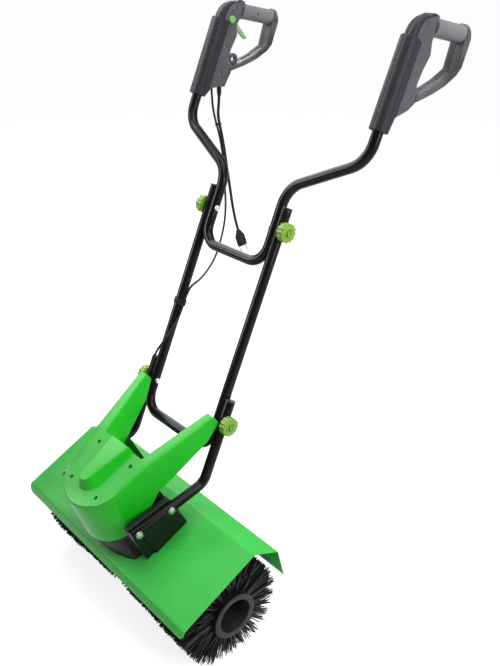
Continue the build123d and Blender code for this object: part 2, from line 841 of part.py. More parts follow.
with BuildPart() as cover_screw_set:
    for x, u in cover_screws:
        for sign in (-1, 1):
            seat = rim_height(u) - recess_deep
            tip = Plane(origin=deck.from_local_coords((sign * x, u, post_top - screw_grip)), z_dir=deck.z_dir)
            disc(tip, cover_screw_r, seat - post_top + screw_grip)
            disc(tip.offset(seat - post_top + screw_grip), cover_head_r, cover_head_h)
keep(cover_screw_set, "cover_screws")


# Bracket tubes from the base to the lower joints
def crossing():
    slope_run = run_v / run_u
    slope_leg = -tan(lean)
    u = (low_v - slope_leg * low_u - bolt_rear[1] + slope_run * bolt_rear[0]) / (slope_run - slope_leg)
    return (u, bolt_rear[1] + slope_run * (u - bolt_rear[0]))


def joint_cut(centre_plane, sign, x_flat, radius, way):
    cut_disc(centre_plane.offset(sign * x_flat), radius, sign * way * 3 * tube_r)


def bolt_hole(centre_plane, radius):
    with BuildSketch(centre_plane) as round_face:
        Circle(radius)
    extrude(round_face.sketch, amount=2 * grip_x, both=True, mode=Mode.SUBTRACT)


def leg_end(along):
    return (low_u - cos(lean) * along, low_v + sin(lean) * along)


def bracket(sign):
    with BuildPart() as tube:
        with BuildLine(side.offset(sign * bracket_x)) as line:
            start = beside_run(bolt_front, bracket_front, 0)
            FilletPolyline(start, crossing(), leg_end(bracket_over), radius=bracket_bend)
        with BuildSketch(Plane(origin=line.wire() @ 0, z_dir=line.wire() % 0)):
            Circle(tube_r)
        sweep(path=line.wire())
        joint_cut(stem_low_side, sign, bracket_x - flat_off, flat_reach, -1)
        joint_cut(stem_low_side, sign, bracket_x + spot_off, knob_r + 1, 1)
        bolt_hole(stem_low_side, bolt_r + fit_gap)
        for bolt in (bolt_front, bolt_rear):
            spot = Plane(origin=side.from_local_coords(bolt), x_dir=deck.y_dir, z_dir=(1, 0, 0))
            joint_cut(spot, sign, bracket_x + spot_off, washer_r + 1, 1)
            bolt_hole(spot, bolt_r + fit_gap)
    return keep(tube, f"bracket_{side_name(sign)}")


for sign in (-1, 1):
    bracket(sign)


def end_caps(x, along, flat_plane, flat_x, way, name):
    with BuildPart() as caps:
        for sign in (-1, 1):
            disc(Plane(origin=on_leg(sign * x, along), z_dir=leg_dir), tube_r, plug_t)
            joint_cut(flat_plane, sign, flat_x, flat_reach, way)
    return keep(caps, name)


end_caps(bracket_x, bracket_over, stem_low_side, bracket_x - flat_off, -1, "bracket_caps")
end_caps(mid_x, leg_span + mid_over, stem_side, mid_x - flat_off, -1, "mid_caps")

with BuildPart() as bracket_bolts:
    for sign in (-1, 1):
        for bolt in (bolt_front, bolt_rear):
            seat_x = sign * (bracket_x + spot_off)
            spot = Plane(origin=side.from_local_coords((*bolt, seat_x)), z_dir=(sign, 0, 0))
            disc(spot, washer_r, washer_t)
            with BuildSketch(spot.offset(washer_t)):
                RegularPolygon(hex_r, 6)
            extrude(amount=hex_h)
            disc(spot, bolt_r, -(spot_off + tube_r + bracket_bolt_deep - 2))
keep(bracket_bolts, "bracket_bolts")


# Folding handle: a lower U and an upper U with outswept legs
def tube_sweep(points, radii):
    with BuildLine(handle) as line:
        FilletPolyline(*points, radius=radii)
    with BuildSketch(Plane(origin=line.wire() @ 0, z_dir=line.wire() % 0)) as section:
        Circle(tube_r)
    sweep(section.sketch, path=line.wire())


mid_top = leg_span + mid_over
with BuildPart() as mid_handle:
    tube_sweep([(-mid_x, mid_top), (-mid_x, -mid_bar_drop), (mid_x, -mid_bar_drop), (mid_x, mid_top)], u_bend)
    for sign in (-1, 1):
        joint_cut(stem_low_side, sign, mid_x + flat_off, flat_reach, 1)
        joint_cut(stem_low_side, sign, mid_x - spot_off, dome_r + 1, -1)
        joint_cut(stem_side, sign, mid_x - flat_off, flat_reach, -1)
        joint_cut(stem_side, sign, mid_x + spot_off, knob_r + 1, 1)
    bolt_hole(stem_low_side, bolt_r + fit_gap)
    bolt_hole(stem_side, bolt_r + fit_gap)
keep(mid_handle, "mid_handle")

upper_points = [
    (grip_x, leg_span + upper_end), (grip_x, leg_span + jog_high), (upper_x, leg_span + jog_low),
    (upper_x, leg_span - upper_bar_drop),
]
upper_path = [(-x, along) for x, along in upper_points] + upper_points[::-1]
with BuildPart() as upper_handle:
    tube_sweep(upper_path, [jog_bend, jog_bend, u_bend, u_bend, jog_bend, jog_bend])
    for sign in (-1, 1):
        joint_cut(stem_side, sign, upper_x + flat_off, flat_reach, 1)
        joint_cut(stem_side, sign, upper_x - spot_off, dome_r + 1, -1)
    bolt_hole(stem_side, bolt_r + fit_gap)
keep(upper_handle, "upper_handle")


def joint_bolts(centre_plane, inner_x, outer_x, name):
    with BuildPart() as bolts:
        for sign in (-1, 1):
            seat = centre_plane.offset(sign * (inner_x - spot_off - run_gap))
            disc(seat, bolt_r, sign * (outer_x - inner_x + 2 * spot_off + knob_t - knob_seat))
            disc(seat, dome_r, -sign * dome_h)
        rims = bolts.edges().filter_by(GeomType.CIRCLE)
        domes = rims.filter_by(lambda edge: abs(edge.radius - dome_r) < 0.01)
        dome_x = inner_x - spot_off - run_gap - 1
        fillet(domes.filter_by(lambda edge: abs(edge.center().X) < dome_x), dome_h * 0.7)
    return keep(bolts, name)


joint_bolts(stem_low_side, mid_x, bracket_x, "lower_joint_bolts")
joint_bolts(stem_side, upper_x, mid_x, "upper_joint_bolts")


def knob(centre_plane, sign, outer_x, name):
    seat = centre_plane.origin + Vector(sign * (outer_x + spot_off + run_gap), 0, 0)
    back = Plane(origin=seat, z_dir=(sign, 0, 0))
    with BuildPart() as grip_knob:
        with BuildSketch(back):
            Circle(knob_r)
            with PolarLocations(knob_r + knob_flute_r / 2, knob_lobes):
                Circle(knob_flute_r, mode=Mode.SUBTRACT)
        extrude(amount=knob_t)
        disc(back.offset(knob_t), knob_hub_r, knob_hub_h)
        cut_disc(back.offset(knob_t - 1), knob_dish_r, 2 * knob_hub_h)
        cut_disc(back, bolt_r + fit_gap, knob_t - knob_seat + run_gap)
    return keep(grip_knob, name)


for sign in (-1, 1):
    knob(stem_low_side, sign, bracket_x, f"lower_knob_{side_name(sign)}")
    knob(stem_side, sign, mid_x, f"upper_knob_{side_name(sign)}")


# D-shaped grips, each in two halves clamped on the tube end
def grip_middle(sign):
    return stem_side.offset(sign * grip_x)


right_grip = grip_middle(1)
lead_out = Vector(*right_grip.from_local_coords(lead_exit))
mains_out = Vector(*right_grip.from_local_coords(mains_exit))


def flat_cut_through(plane, half, at, width, height):
    with BuildSketch(plane.offset(-half)) as opening:
        with Locations(at):
            Rectangle(width, height)
    extrude(opening.sketch, amount=2 * half, mode=Mode.SUBTRACT)


def switch_cuts():
    flat_cut_through(right_grip, trigger_half + run_gap, trigger_room, *trigger_room_size)
    flat_cut_through(
        right_grip, switch_half + fit_gap, switch_at, switch_len + 2 * fit_gap, switch_deep + 2 * fit_gap
    )
    pivot = Plane(origin=right_grip.from_local_coords((*trigger_pivot, -pin_half)), z_dir=(1, 0, 0))
    cut_disc(pivot, pin_r + fit_gap / 2, 2 * pin_half)
    bore = Plane(origin=right_grip.from_local_coords((*button_at, -button_floor)), z_dir=(-1, 0, 0))
    cut_disc(bore, button_r + button_gap, bar_r)
    guard_ends = [Vector(*right_grip.from_local_coords(point)) for point in guard_over[1:3]]
    guard_run = guard_ends[0] - guard_ends[1]
    guard_face = guard_run.cross(Vector(1, 0, 0))
    guard = Plane(origin=right_grip.from_local_coords(guard_slot), x_dir=guard_run, z_dir=guard_face)
    with BuildSketch(guard) as slot:
        SlotOverall(slot_len, slot_w)
    extrude(slot.sketch, amount=bar_r, both=True, mode=Mode.SUBTRACT)
    lead_way = Plane(origin=lead_out - Vector(0, 0, lead_bury), z_dir=(0, 0, 1))
    cut_disc(lead_way, lead_r + fit_gap, 2 * lead_bury)
    relief_way = Plane(origin=mains_out - Vector(0, 0, relief_bury), z_dir=(0, 0, 1))
    cut_disc(relief_way, relief_r + fit_gap, 2 * relief_bury)


def screw_seat_plane(sign, along, back):
    seat = grip_middle(sign).from_local_coords((along, back, -sign * screw_seat))
    return Plane(origin=seat, z_dir=(-sign, 0, 0))


def grip_stem(stem):
    with BuildPart() as post:
        with BuildSketch(stem):
            RectangleRounded(2 * stem_half, 2 * stem_half, stem_corner)
        extrude(amount=stem_high - stem_low)
        ends = post.faces().sort_by(Axis(stem.origin, stem.z_dir))
        fillet(ends[0].edges() + ends[-1].edges(), stem_round)
    return post.part


def grip_strap(middle):
    with BuildPart() as strap:
        with BuildSketch(middle.offset(-strap_half)) as band:
            with BuildLine():
                Polyline(*guard_under, *strap_rear, *guard_over, *strap_foot, close=True)
            make_face()
            fillet(band.vertices(), outline_round)
        extrude(amount=2 * strap_half)
        fillet(strap.faces().filter_by(Axis.X).edges(), strap_edge_r)
    return strap.part


def grip_head(middle):
    with BuildPart() as head:
        with BuildSketch(middle.offset(-head_half)):
            with BuildLine():
                ThreePointArc(head_foot, head_crown, head_top)
                Polyline(head_top, (head_top[0], head_back), (head_foot[0], head_back), head_foot)
            make_face()
        extrude(amount=2 * head_half)
        fillet(head.faces().filter_by(Axis.X).edges(), head_round)
    return head.part


def grip_body(sign):
    middle = grip_middle(sign)
    stem = Plane(origin=middle.from_local_coords((stem_low, 0)), x_dir=(1, 0, 0), z_dir=leg_dir)
    front = Vector(*middle.from_local_coords(bar_front))
    rear = Vector(*middle.from_local_coords(bar_rear))
    bar = Plane(origin=front, z_dir=rear - front)
    bar_len = (rear - front).length
    outline = lobe_right + spine_right + rim_right if sign > 0 else lobe_left + spine_left + rim_left
    with BuildPart() as whole:
        with BuildSketch(middle.offset(-plate_half)) as plate:
            with BuildLine():
                Polyline(*outline, close=True)
            make_face()
            fillet(plate.vertices(), outline_round)
        extrude(amount=2 * plate_half)
        fillet(whole.faces().filter_by(Axis.X).edges(), grip_edge_r)
        add(grip_strap(middle))
        add(grip_stem(stem))
        add(grip_head(middle))
        disc(bar, bar_r, bar_len)
        disc(bar, bar_r + collar_out, collar_to)
        disc(bar.offset(bar_len - flange_from), bar_r + flange_out, flange_from)
        cut_disc(stem, tube_r + fit_gap, upper_end - stem_low + run_gap)
        for along, back in grip_screws:
            cut_disc(screw_seat_plane(sign, along, back), grip_head_r + fit_gap, 2 * bar_r)
            cut_disc(screw_seat_plane(sign, along, back), grip_screw_r + fit_gap, -(screw_seat + screw_bite))
        if sign > 0:
            switch_cuts()
    return whole.part


for sign in (-1, 1):
    grip_shape = grip_body(sign)
    for name, kept in (("outer", sign), ("inner", -sign)):
        with BuildPart() as half:
            add(grip_shape)
            split(bisect_by=grip_middle(sign), keep=Keep.TOP if kept > 0 else Keep.BOTTOM)
        keep(half, f"grip_{side_name(sign)}_{name}")
    with BuildPart() as screws:
        for along, back in grip_screws:
            disc(screw_seat_plane(sign, along, back), grip_head_r, grip_head_h)
            disc(screw_seat_plane(sign, along, back), grip_screw_r, -(screw_seat + screw_bite - 1))
    keep(screws, f"grip_screws_{side_name(sign)}")


# Switch, trigger, pin, lock button and cord hook in the right grip
with BuildPart() as switch:
    with BuildSketch(right_grip.offset(-switch_half)):
        with Locations(switch_at):
            Rectangle(switch_len, switch_deep)
    extrude(amount=2 * switch_half)
keep(switch, "switch")

with BuildPart() as trigger:
    with BuildSketch(right_grip.offset(-trigger_half)):
        with Locations(trigger_pivot):
            Circle(trigger_hub_r)
        with Locations(trigger_tip):
            Circle(trigger_t / 2)
        make_hull()
        with Locations(trigger_pivot):
            Circle(pin_r + fit_gap, mode=Mode.SUBTRACT)
    extrude(amount=2 * trigger_half)
keep(trigger, "trigger")

with BuildPart() as trigger_pin:
    with BuildSketch(right_grip.offset(-pin_half)):
        with Locations(trigger_pivot):
            Circle(pin_r)
    extrude(amount=2 * pin_half)
keep(trigger_pin, "trigger_pin")

button_back = button_floor + button_travel + run_gap
with BuildPart() as lock_button:
    disc(
        Plane(origin=right_grip.from_local_coords((*button_at, -button_back)), z_dir=(-1, 0, 0)),
        button_r, plate_half + button_out - button_back,
    )
    chamfer(lock_button.edges().group_by(Axis.X)[0], 1)
keep(lock_button, "lock_button")

with BuildPart() as cord_hook:
    with BuildSketch(right_grip.offset(-hook_half)):
        with Locations(hook_at):
            Circle(hook_r)
            Circle(hook_eye_r, mode=Mode.SUBTRACT)
    extrude(amount=2 * hook_half)
    add(grip_shape, mode=Mode.SUBTRACT)
keep(cord_hook, "cord_hook")


# Cords: straight runs joined by tangent arcs
def corner_radii(points):
    radii = []
    for before, corner, after in zip(points, points[1:], points[2:]):
        half_turn = radians((corner - before).get_angle(after - corner)) / 2
        radii.append(0.45 * min((corner - before).length, (after - corner).length) / tan(half_turn))
    return radii


def cord(points, radius, name):
    radii = corner_radii(points)
    with BuildPart() as strand:
        with BuildLine() as line:
            FilletPolyline(*points, radius=radii)
        with BuildSketch(Plane(origin=line.wire() @ 0, z_dir=line.wire() % 0)):
            Circle(radius)
        sweep(path=line.wire())
    length = line.wire().length
    filled = strand.part.volume / (pi * radius**2 * length)
    bends = [round(value) for value in radii]
    print(name, "length", round(length), "radii", bends, "filled", round(filled, 4))
    return keep(strand, name)


clip_point = on_leg(mid_x - tube_r - clip_gap - lead_r, clip_along)
arm_entry = [deck.from_local_coords((x, arm_tip_u + du, arm_top + dv)) for x, du, dv in lead_entry]
lead_hang = [lead_out + Vector(*step) for step in lead_drop]
lead_points = lead_hang + [clip_point + Vector(*step) for step in lead_rise]
arm_points = [clip_point + Vector(*step) for step in lead_fall] + arm_entry
mains_points = [mains_out + Vector(*step) for step in mains_drop]
cord(lead_points, lead_r, "motor_lead_upper")
cord(arm_points, lead_r, "motor_lead_lower")
cord(mains_points, mains_r, "mains_lead")

with BuildPart() as strain_relief:
    top = Plane(origin=mains_out + Vector(0, 0, relief_bury), z_dir=(0, 0, -1))
    disc(top, relief_r, 2 * relief_bury)
    with BuildSketch(top.offset(2 * relief_bury)):
        Circle(relief_r)
    with BuildSketch(top.offset(2 * relief_bury + relief_len)):
        Circle(relief_tip_r)
    loft()
    cut_disc(top, mains_r + relief_gap, 2 * relief_bury + relief_len)
keep(strain_relief, "strain_relief")

with BuildPart() as cable_clip:
    collar = Plane(origin=on_leg(mid_x, clip_along - clip_len / 2), x_dir=(1, 0, 0), z_dir=leg_dir)
    with BuildSketch(collar):
        Circle(tube_r + clip_t)
        with Locations((-tube_r - clip_gap - lead_r, 0)):
            Circle(lead_r + clip_t)
        make_hull()
        Circle(tube_r + fit_gap, mode=Mode.SUBTRACT)
        with Locations((-tube_r - clip_gap - lead_r, 0)):
            Circle(lead_r + fit_gap, mode=Mode.SUBTRACT)
    extrude(amount=clip_len)
keep(cable_clip, "cable_clip")

lead_mid = (lead_points[2] + lead_points[3]) * 0.5
mains_mid = (mains_points[2] + mains_points[3]) * 0.5
tie_way = (lead_points[3] - lead_points[2]).normalized() + (mains_points[3] - mains_points[2]).normalized()
tie_plane = Plane(origin=lead_mid, x_dir=mains_mid - lead_mid, z_dir=tie_way)
tie_apart = tie_plane.to_local_coords(mains_mid).X
with BuildPart() as cable_tie:
    with BuildSketch(tie_plane.offset(-tie_w / 2)):
        Circle(lead_r + tie_t)
        with Locations((tie_apart, 0)):
            Circle(mains_r + tie_t)
        make_hull()
        Circle(lead_r + run_gap, mode=Mode.SUBTRACT)
        with Locations((tie_apart, 0)):
            Circle(mains_r + run_gap, mode=Mode.SUBTRACT)
    extrude(amount=tie_w)
keep(cable_tie, "cable_tie")

plug_way = (mains_points[-1] - mains_points[-2]).normalized()
plug_plane = Plane(origin=mains_points[-1] - plug_way * plug_hold, x_dir=(0, 1, 0), z_dir=plug_way)
with BuildPart() as plug:
    with BuildSketch(plug_plane):
        Circle(plug_neck_r)
    with BuildSketch(plug_plane.offset(plug_neck)):
        RectangleRounded(plug_w, plug_d, plug_d / 2 - 0.5)
    loft()
    with BuildSketch(plug_plane.offset(plug_neck)):
        RectangleRounded(plug_w, plug_d, plug_d / 2 - 0.5)
    extrude(amount=plug_len)
    cut_disc(plug_plane, mains_r + fit_gap, plug_hold)
    for sign in (-1, 1):
        socket = plug_plane.offset(plug_neck + plug_len)
        pin = Plane(origin=socket.from_local_coords((sign * plug_pitch / 2, 0)), z_dir=plug_way)
        cut_disc(pin, plug_root_r + fit_gap, -plug_pin_root)
keep(plug, "plug")

with BuildPart() as plug_pins:
    for sign in (-1, 1):
        socket = plug_plane.offset(plug_neck + plug_len - plug_pin_root)
        pin = Plane(origin=socket.from_local_coords((sign * plug_pitch / 2, 0)), z_dir=plug_way)
        disc(pin, plug_root_r, plug_pin_root)
        disc(pin.offset(plug_pin_root), plug_pin_r, plug_pin_len)
keep(plug_pins, "plug_pins")
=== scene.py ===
import bpy
import json
import random
from math import cos, pi, radians, sin
from mathutils import Matrix, Vector


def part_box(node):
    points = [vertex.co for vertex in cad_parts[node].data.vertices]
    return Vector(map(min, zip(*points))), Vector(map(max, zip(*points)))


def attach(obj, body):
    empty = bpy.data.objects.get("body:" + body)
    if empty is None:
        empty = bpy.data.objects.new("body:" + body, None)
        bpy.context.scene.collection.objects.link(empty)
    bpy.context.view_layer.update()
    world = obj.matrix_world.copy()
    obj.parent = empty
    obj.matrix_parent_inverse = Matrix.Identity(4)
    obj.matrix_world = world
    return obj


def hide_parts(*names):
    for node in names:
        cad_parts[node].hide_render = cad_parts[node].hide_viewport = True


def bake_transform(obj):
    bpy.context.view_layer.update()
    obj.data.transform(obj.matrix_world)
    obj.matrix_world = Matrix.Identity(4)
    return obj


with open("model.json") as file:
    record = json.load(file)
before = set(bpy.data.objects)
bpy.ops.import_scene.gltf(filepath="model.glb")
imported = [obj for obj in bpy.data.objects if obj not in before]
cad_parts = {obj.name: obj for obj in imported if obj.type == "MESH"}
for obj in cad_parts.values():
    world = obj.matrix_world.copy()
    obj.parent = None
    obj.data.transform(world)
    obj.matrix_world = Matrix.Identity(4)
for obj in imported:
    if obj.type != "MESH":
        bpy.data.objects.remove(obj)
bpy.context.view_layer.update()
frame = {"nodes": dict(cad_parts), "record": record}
bodyOf = {name: body for body, names in frame["record"]["behaviour"]["bodies"].items() for name in names}
print("frame loaded:", len(frame["nodes"]), "solids")


def pickOnly(piece):
    bpy.ops.object.select_all(action="DESELECT")
    piece.select_set(True)
    bpy.context.view_layer.objects.active = piece


# Camera at the photograph's viewing angle
cameraSet = {
    "place": (-1.202, 0.96512, 1.35376),
    "right": (-0.6592, -0.752, 0.0),
    "up": (0.3335, -0.292, 0.896),
    "back": (-0.6739, 0.591, 0.4437),
    "lens": 42.16, "sensor": 36.0,
}


def makeCamera():
    data = bpy.data.cameras.new("photoCamera")
    data.lens = cameraSet["lens"]
    data.sensor_width = cameraSet["sensor"]
    data.sensor_fit = "AUTO"
    camera = bpy.data.objects.new("photoCamera", data)
    bpy.context.scene.collection.objects.link(camera)
    turn = Matrix((cameraSet["right"], cameraSet["up"], cameraSet["back"])).transposed()
    camera.matrix_world = Matrix.Translation(cameraSet["place"]) @ turn.to_4x4()
    bpy.context.scene.camera = camera


makeCamera()
print("camera placed")


# Shared surface effects, one node group each
def newGroup(name, inputs, outputs):
    group = bpy.data.node_groups.new(name, "ShaderNodeTree")
    for label, kind, value in inputs:
        socket = group.interface.new_socket(name=label, in_out="INPUT", socket_type="NodeSocket" + kind)
        socket.default_value = value
    for label, kind in outputs:
        group.interface.new_socket(name=label, in_out="OUTPUT", socket_type="NodeSocket" + kind)
    return group, group.nodes.new("NodeGroupInput"), group.nodes.new("NodeGroupOutput")


def mathNode(tree, operation, first, second, clamp=False):
    node = tree.nodes.new("ShaderNodeMath")
    node.operation = operation
    node.use_clamp = clamp
    for socket, value in zip(node.inputs, (first, second)):
        if isinstance(value, (int, float)):
            socket.default_value = value
        else:
            tree.links.new(value, socket)
    return node.outputs[0]


def noiseNode(tree, coords, scale, detail, rough):
    node = tree.nodes.new("ShaderNodeTexNoise")
    node.inputs["Detail"].default_value = detail
    node.inputs["Roughness"].default_value = rough
    tree.links.new(coords, node.inputs["Vector"])
    if isinstance(scale, (int, float)):
        node.inputs["Scale"].default_value = scale
    else:
        tree.links.new(scale, node.inputs["Scale"])
    return node.outputs[0]


def stepNode(tree, value, low, high):
    node = tree.nodes.new("ShaderNodeMapRange")
    node.interpolation_type = "SMOOTHSTEP"
    tree.links.new(value, node.inputs["Value"])
    node.inputs["From Min"].default_value = low
    node.inputs["From Max"].default_value = high
    return node.outputs[0]


def makeSurfaceGrain():
    # fine moulded or sprayed texture: height for the bump, and a slow drift for gloss and colour
    group, given, out = newGroup(
        "surfaceGrain",
        [("Grain Scale", "Float", 900.0), ("Drift Scale", "Float", 9.0)],
        [("Height", "Float"), ("Drift", "Float")],
    )
    coords = group.nodes.new("ShaderNodeTexCoord").outputs["Object"]
    fine = noiseNode(group, coords, given.outputs["Grain Scale"], detail=2.0, rough=0.6)
    drift = noiseNode(group, coords, given.outputs["Drift Scale"], detail=4.0, rough=0.55)
    group.links.new(fine, out.inputs["Height"])
    group.links.new(drift, out.inputs["Drift"])
    return group


def makeDustAndTopSheen():
    # pale dust, and with it a painted top sheen, where a face looks up, broken up by noise
    group, given, out = newGroup("dustAndTopSheen", [("Amount", "Float", 0.2)], [("Mask", "Float")])
    texture = group.nodes.new("ShaderNodeTexCoord")
    parts = group.nodes.new("ShaderNodeSeparateXYZ")
    group.links.new(texture.outputs["Normal"], parts.inputs[0])
    upward = stepNode(group, parts.outputs["Z"], low=0.35, high=1.0)
    patch = noiseNode(group, texture.outputs["Object"], scale=23.0, detail=5.0, rough=0.62)
    speck = noiseNode(group, texture.outputs["Object"], scale=420.0, detail=2.0, rough=0.7)
    patched = stepNode(group, patch, low=0.35, high=0.8)
    specked = stepNode(group, speck, low=0.3, high=0.75)
    broken = mathNode(group, "MULTIPLY", patched, specked)
    laid = mathNode(group, "MULTIPLY", upward, broken)
    group.links.new(mathNode(group, "MULTIPLY", laid, given.outputs["Amount"], True), out.inputs["Mask"])
    return group


def makeHandlingScuffs():
    # short rubbed streaks, drawn out along one axis
    group, given, out = newGroup(
        "handlingScuffs",
        [("Amount", "Float", 0.2), ("Streak", "Vector", (1.0, 1.0, 1.0))],
        [("Mask", "Float")],
    )
    coords = group.nodes.new("ShaderNodeTexCoord").outputs["Object"]
    stretch = group.nodes.new("ShaderNodeVectorMath")
    stretch.operation = "MULTIPLY"
    group.links.new(coords, stretch.inputs[0])
    group.links.new(given.outputs["Streak"], stretch.inputs[1])
    streaks = noiseNode(group, stretch.outputs[0], scale=160.0, detail=4.0, rough=0.65)
    streaks = stepNode(group, streaks, low=0.6, high=0.72)
    zones = noiseNode(group, coords, scale=14.0, detail=3.0, rough=0.5)
    zones = stepNode(group, zones, low=0.5, high=0.68)
    rubbed = mathNode(group, "MULTIPLY", streaks, zones)
    group.links.new(mathNode(group, "MULTIPLY", rubbed, given.outputs["Amount"], True), out.inputs["Mask"])
    return group


def makeEdgeWearAndHighlight():
    # rubbed edges, and a painted highlight along the edges: where the softened normal leaves the true one, broken
    # up by noise
    group, given, out = newGroup(
        "edgeWearAndHighlight", [("Amount", "Float", 0.3), ("Reach", "Float", 0.0012)], [("Mask", "Float")]
    )
    soft = group.nodes.new("ShaderNodeBevel")
    soft.samples = 4
    group.links.new(given.outputs["Reach"], soft.inputs["Radius"])
    true = group.nodes.new("ShaderNodeNewGeometry")
    same = group.nodes.new("ShaderNodeVectorMath")
    same.operation = "DOT_PRODUCT"
    group.links.new(soft.outputs["Normal"], same.inputs[0])
    group.links.new(true.outputs["Normal"], same.inputs[1])
    away = mathNode(group, "SUBTRACT", 1.0, same.outputs["Value"], True)
    coords = group.nodes.new("ShaderNodeTexCoord").outputs["Object"]
    broken = noiseNode(group, coords, scale=90.0, detail=4.0, rough=0.6)
    broken = stepNode(group, broken, low=0.3, high=0.7)
    worn = mathNode(group, "MULTIPLY", stepNode(group, away, low=0.01, high=0.2), broken)
    group.links.new(mathNode(group, "MULTIPLY", worn, given.outputs["Amount"], True), out.inputs["Mask"])
    return group


# Tones of the grips, in metres along the stem and behind it from the upper pivot
gripSet = {
    "pivot": (0.0, -0.069725, 0.841487),
    "up": (0.0, -0.411514, 0.911403), "back": (0.0, -0.911403, -0.411514),
    "pod": 0.0182, "headFoot": 0.398, "headTop": 0.46, "headStep": (0.004, 0.006),
    "rimBack": 0.042, "rimLead": 0.004, "rimCurve": 4.0, "edge": 0.0004,
    "barRise": 0.4331, "barSlope": 0.1626, "barRadius": 0.0182, "barFrom": 0.0475,
    "barTo": 0.1365, "barEdge": 0.0005,
    "guardShadeFrom": 0.112, "guardShadeFull": 0.13, "guardShadeFade": 0.03,
}


def makeGripZones():
    # masks for the dark pod and head face, a painted highlight on the bar's top and painted shade on the guard's
    # back
    group, _, out = newGroup("gripZones", [], [("Mask", "Float"), ("Bar", "Float"), ("Guard", "Float")])
    coords = group.nodes.new("ShaderNodeTexCoord").outputs["Object"]
    local = group.nodes.new("ShaderNodeVectorMath")
    local.operation = "SUBTRACT"
    group.links.new(coords, local.inputs[0])
    local.inputs[1].default_value = gripSet["pivot"]
    ways = []
    for way in ("up", "back"):
        dot = group.nodes.new("ShaderNodeVectorMath")
        dot.operation = "DOT_PRODUCT"
        group.links.new(local.outputs[0], dot.inputs[0])
        dot.inputs[1].default_value = gripSet[way]
        ways.append(dot.outputs["Value"])
    upward, rearward = ways
    edge, foot, radius = gripSet["edge"], gripSet["headFoot"], gripSet["barRadius"]

    rise = mathNode(group, "SUBTRACT", upward, foot)
    rise = mathNode(group, "DIVIDE", rise, gripSet["headTop"] - foot, True)
    rim = mathNode(group, "MULTIPLY", mathNode(group, "POWER", rise, gripSet["rimCurve"]), gripSet["rimBack"])
    inHead = stepNode(group, upward, *(foot + step for step in gripSet["headStep"]))
    podLine = mathNode(group, "MULTIPLY", mathNode(group, "SUBTRACT", 1.0, inHead), gripSet["pod"])
    headLine = mathNode(group, "MULTIPLY", mathNode(group, "ADD", rim, gripSet["rimLead"]), inHead)
    past = mathNode(group, "SUBTRACT", mathNode(group, "ADD", podLine, headLine), rearward)
    inside = stepNode(group, past, -edge, edge)
    group.links.new(inside, out.inputs["Mask"])

    # painted highlight: a paler band along the top of the bar
    axis = mathNode(group, "ADD", mathNode(group, "MULTIPLY", rearward, gripSet["barSlope"]), gripSet["barRise"])
    off = mathNode(group, "SUBTRACT", upward, axis)
    near = stepNode(group, off, -radius - edge, -radius)
    begun = stepNode(group, rearward, gripSet["barFrom"], gripSet["barFrom"] + gripSet["barEdge"])
    done = stepNode(group, rearward, gripSet["barTo"], gripSet["barTo"] + gripSet["barEdge"])
    along = mathNode(group, "MULTIPLY", begun, mathNode(group, "SUBTRACT", 1.0, done))
    group.links.new(mathNode(group, "MULTIPLY", along, near, True), out.inputs["Bar"])

    # painted shade: darker on the guard's back below the bar
    behind = stepNode(group, rearward, gripSet["guardShadeFrom"], gripSet["guardShadeFull"])
    fade = stepNode(group, off, -radius - gripSet["guardShadeFade"], -radius)
    below = mathNode(group, "SUBTRACT", 1.0, fade)
    group.links.new(mathNode(group, "MULTIPLY", behind, below, True), out.inputs["Guard"])
    return group


surfaceGrain = makeSurfaceGrain()
dustAndTopSheen = makeDustAndTopSheen()
handlingScuffs = makeHandlingScuffs()
edgeWearAndHighlight = makeEdgeWearAndHighlight()
gripZones = makeGripZones()


def mixColour(tree, factor, first, second):
    node = tree.nodes.new("ShaderNodeMix")
    node.data_type = "RGBA"
    tree.links.new(factor, node.inputs["Factor"])
    for label, value in (("A", first), ("B", second)):
        socket = [s for s in node.inputs if s.name == label and s.type == "RGBA"][0]
        if isinstance(value, tuple):
            socket.default_value = (*value, 1.0)
        else:
            tree.links.new(value, socket)
    return [s for s in node.outputs if s.type == "RGBA"][0]


def groupNode(tree, group, **values):
    node = tree.nodes.new("ShaderNodeGroup")
    node.node_tree = group
    for label, value in values.items():
        node.inputs[label.replace("_", " ")].default_value = value
    return node


# What a finish has unless its own settings say otherwise
finishPlain = {
    "drift": 9.0, "scuffs": 0.15, "streak": (1.0, 1.0, 1.0), "dust": 0.1, "wear": 0.25, "edgeReach": 0.0012,
    "bump": 0.15, "depth": 0.0002, "metal": 0.0, "specular": 0.5, "driftSpan": (0.3, 0.7), "roughDrift": 0.08,
    "scuffRough": 0.25, "dustRough": 0.5, "dustAndSheenColour": (0.42, 0.41, 0.38),
}


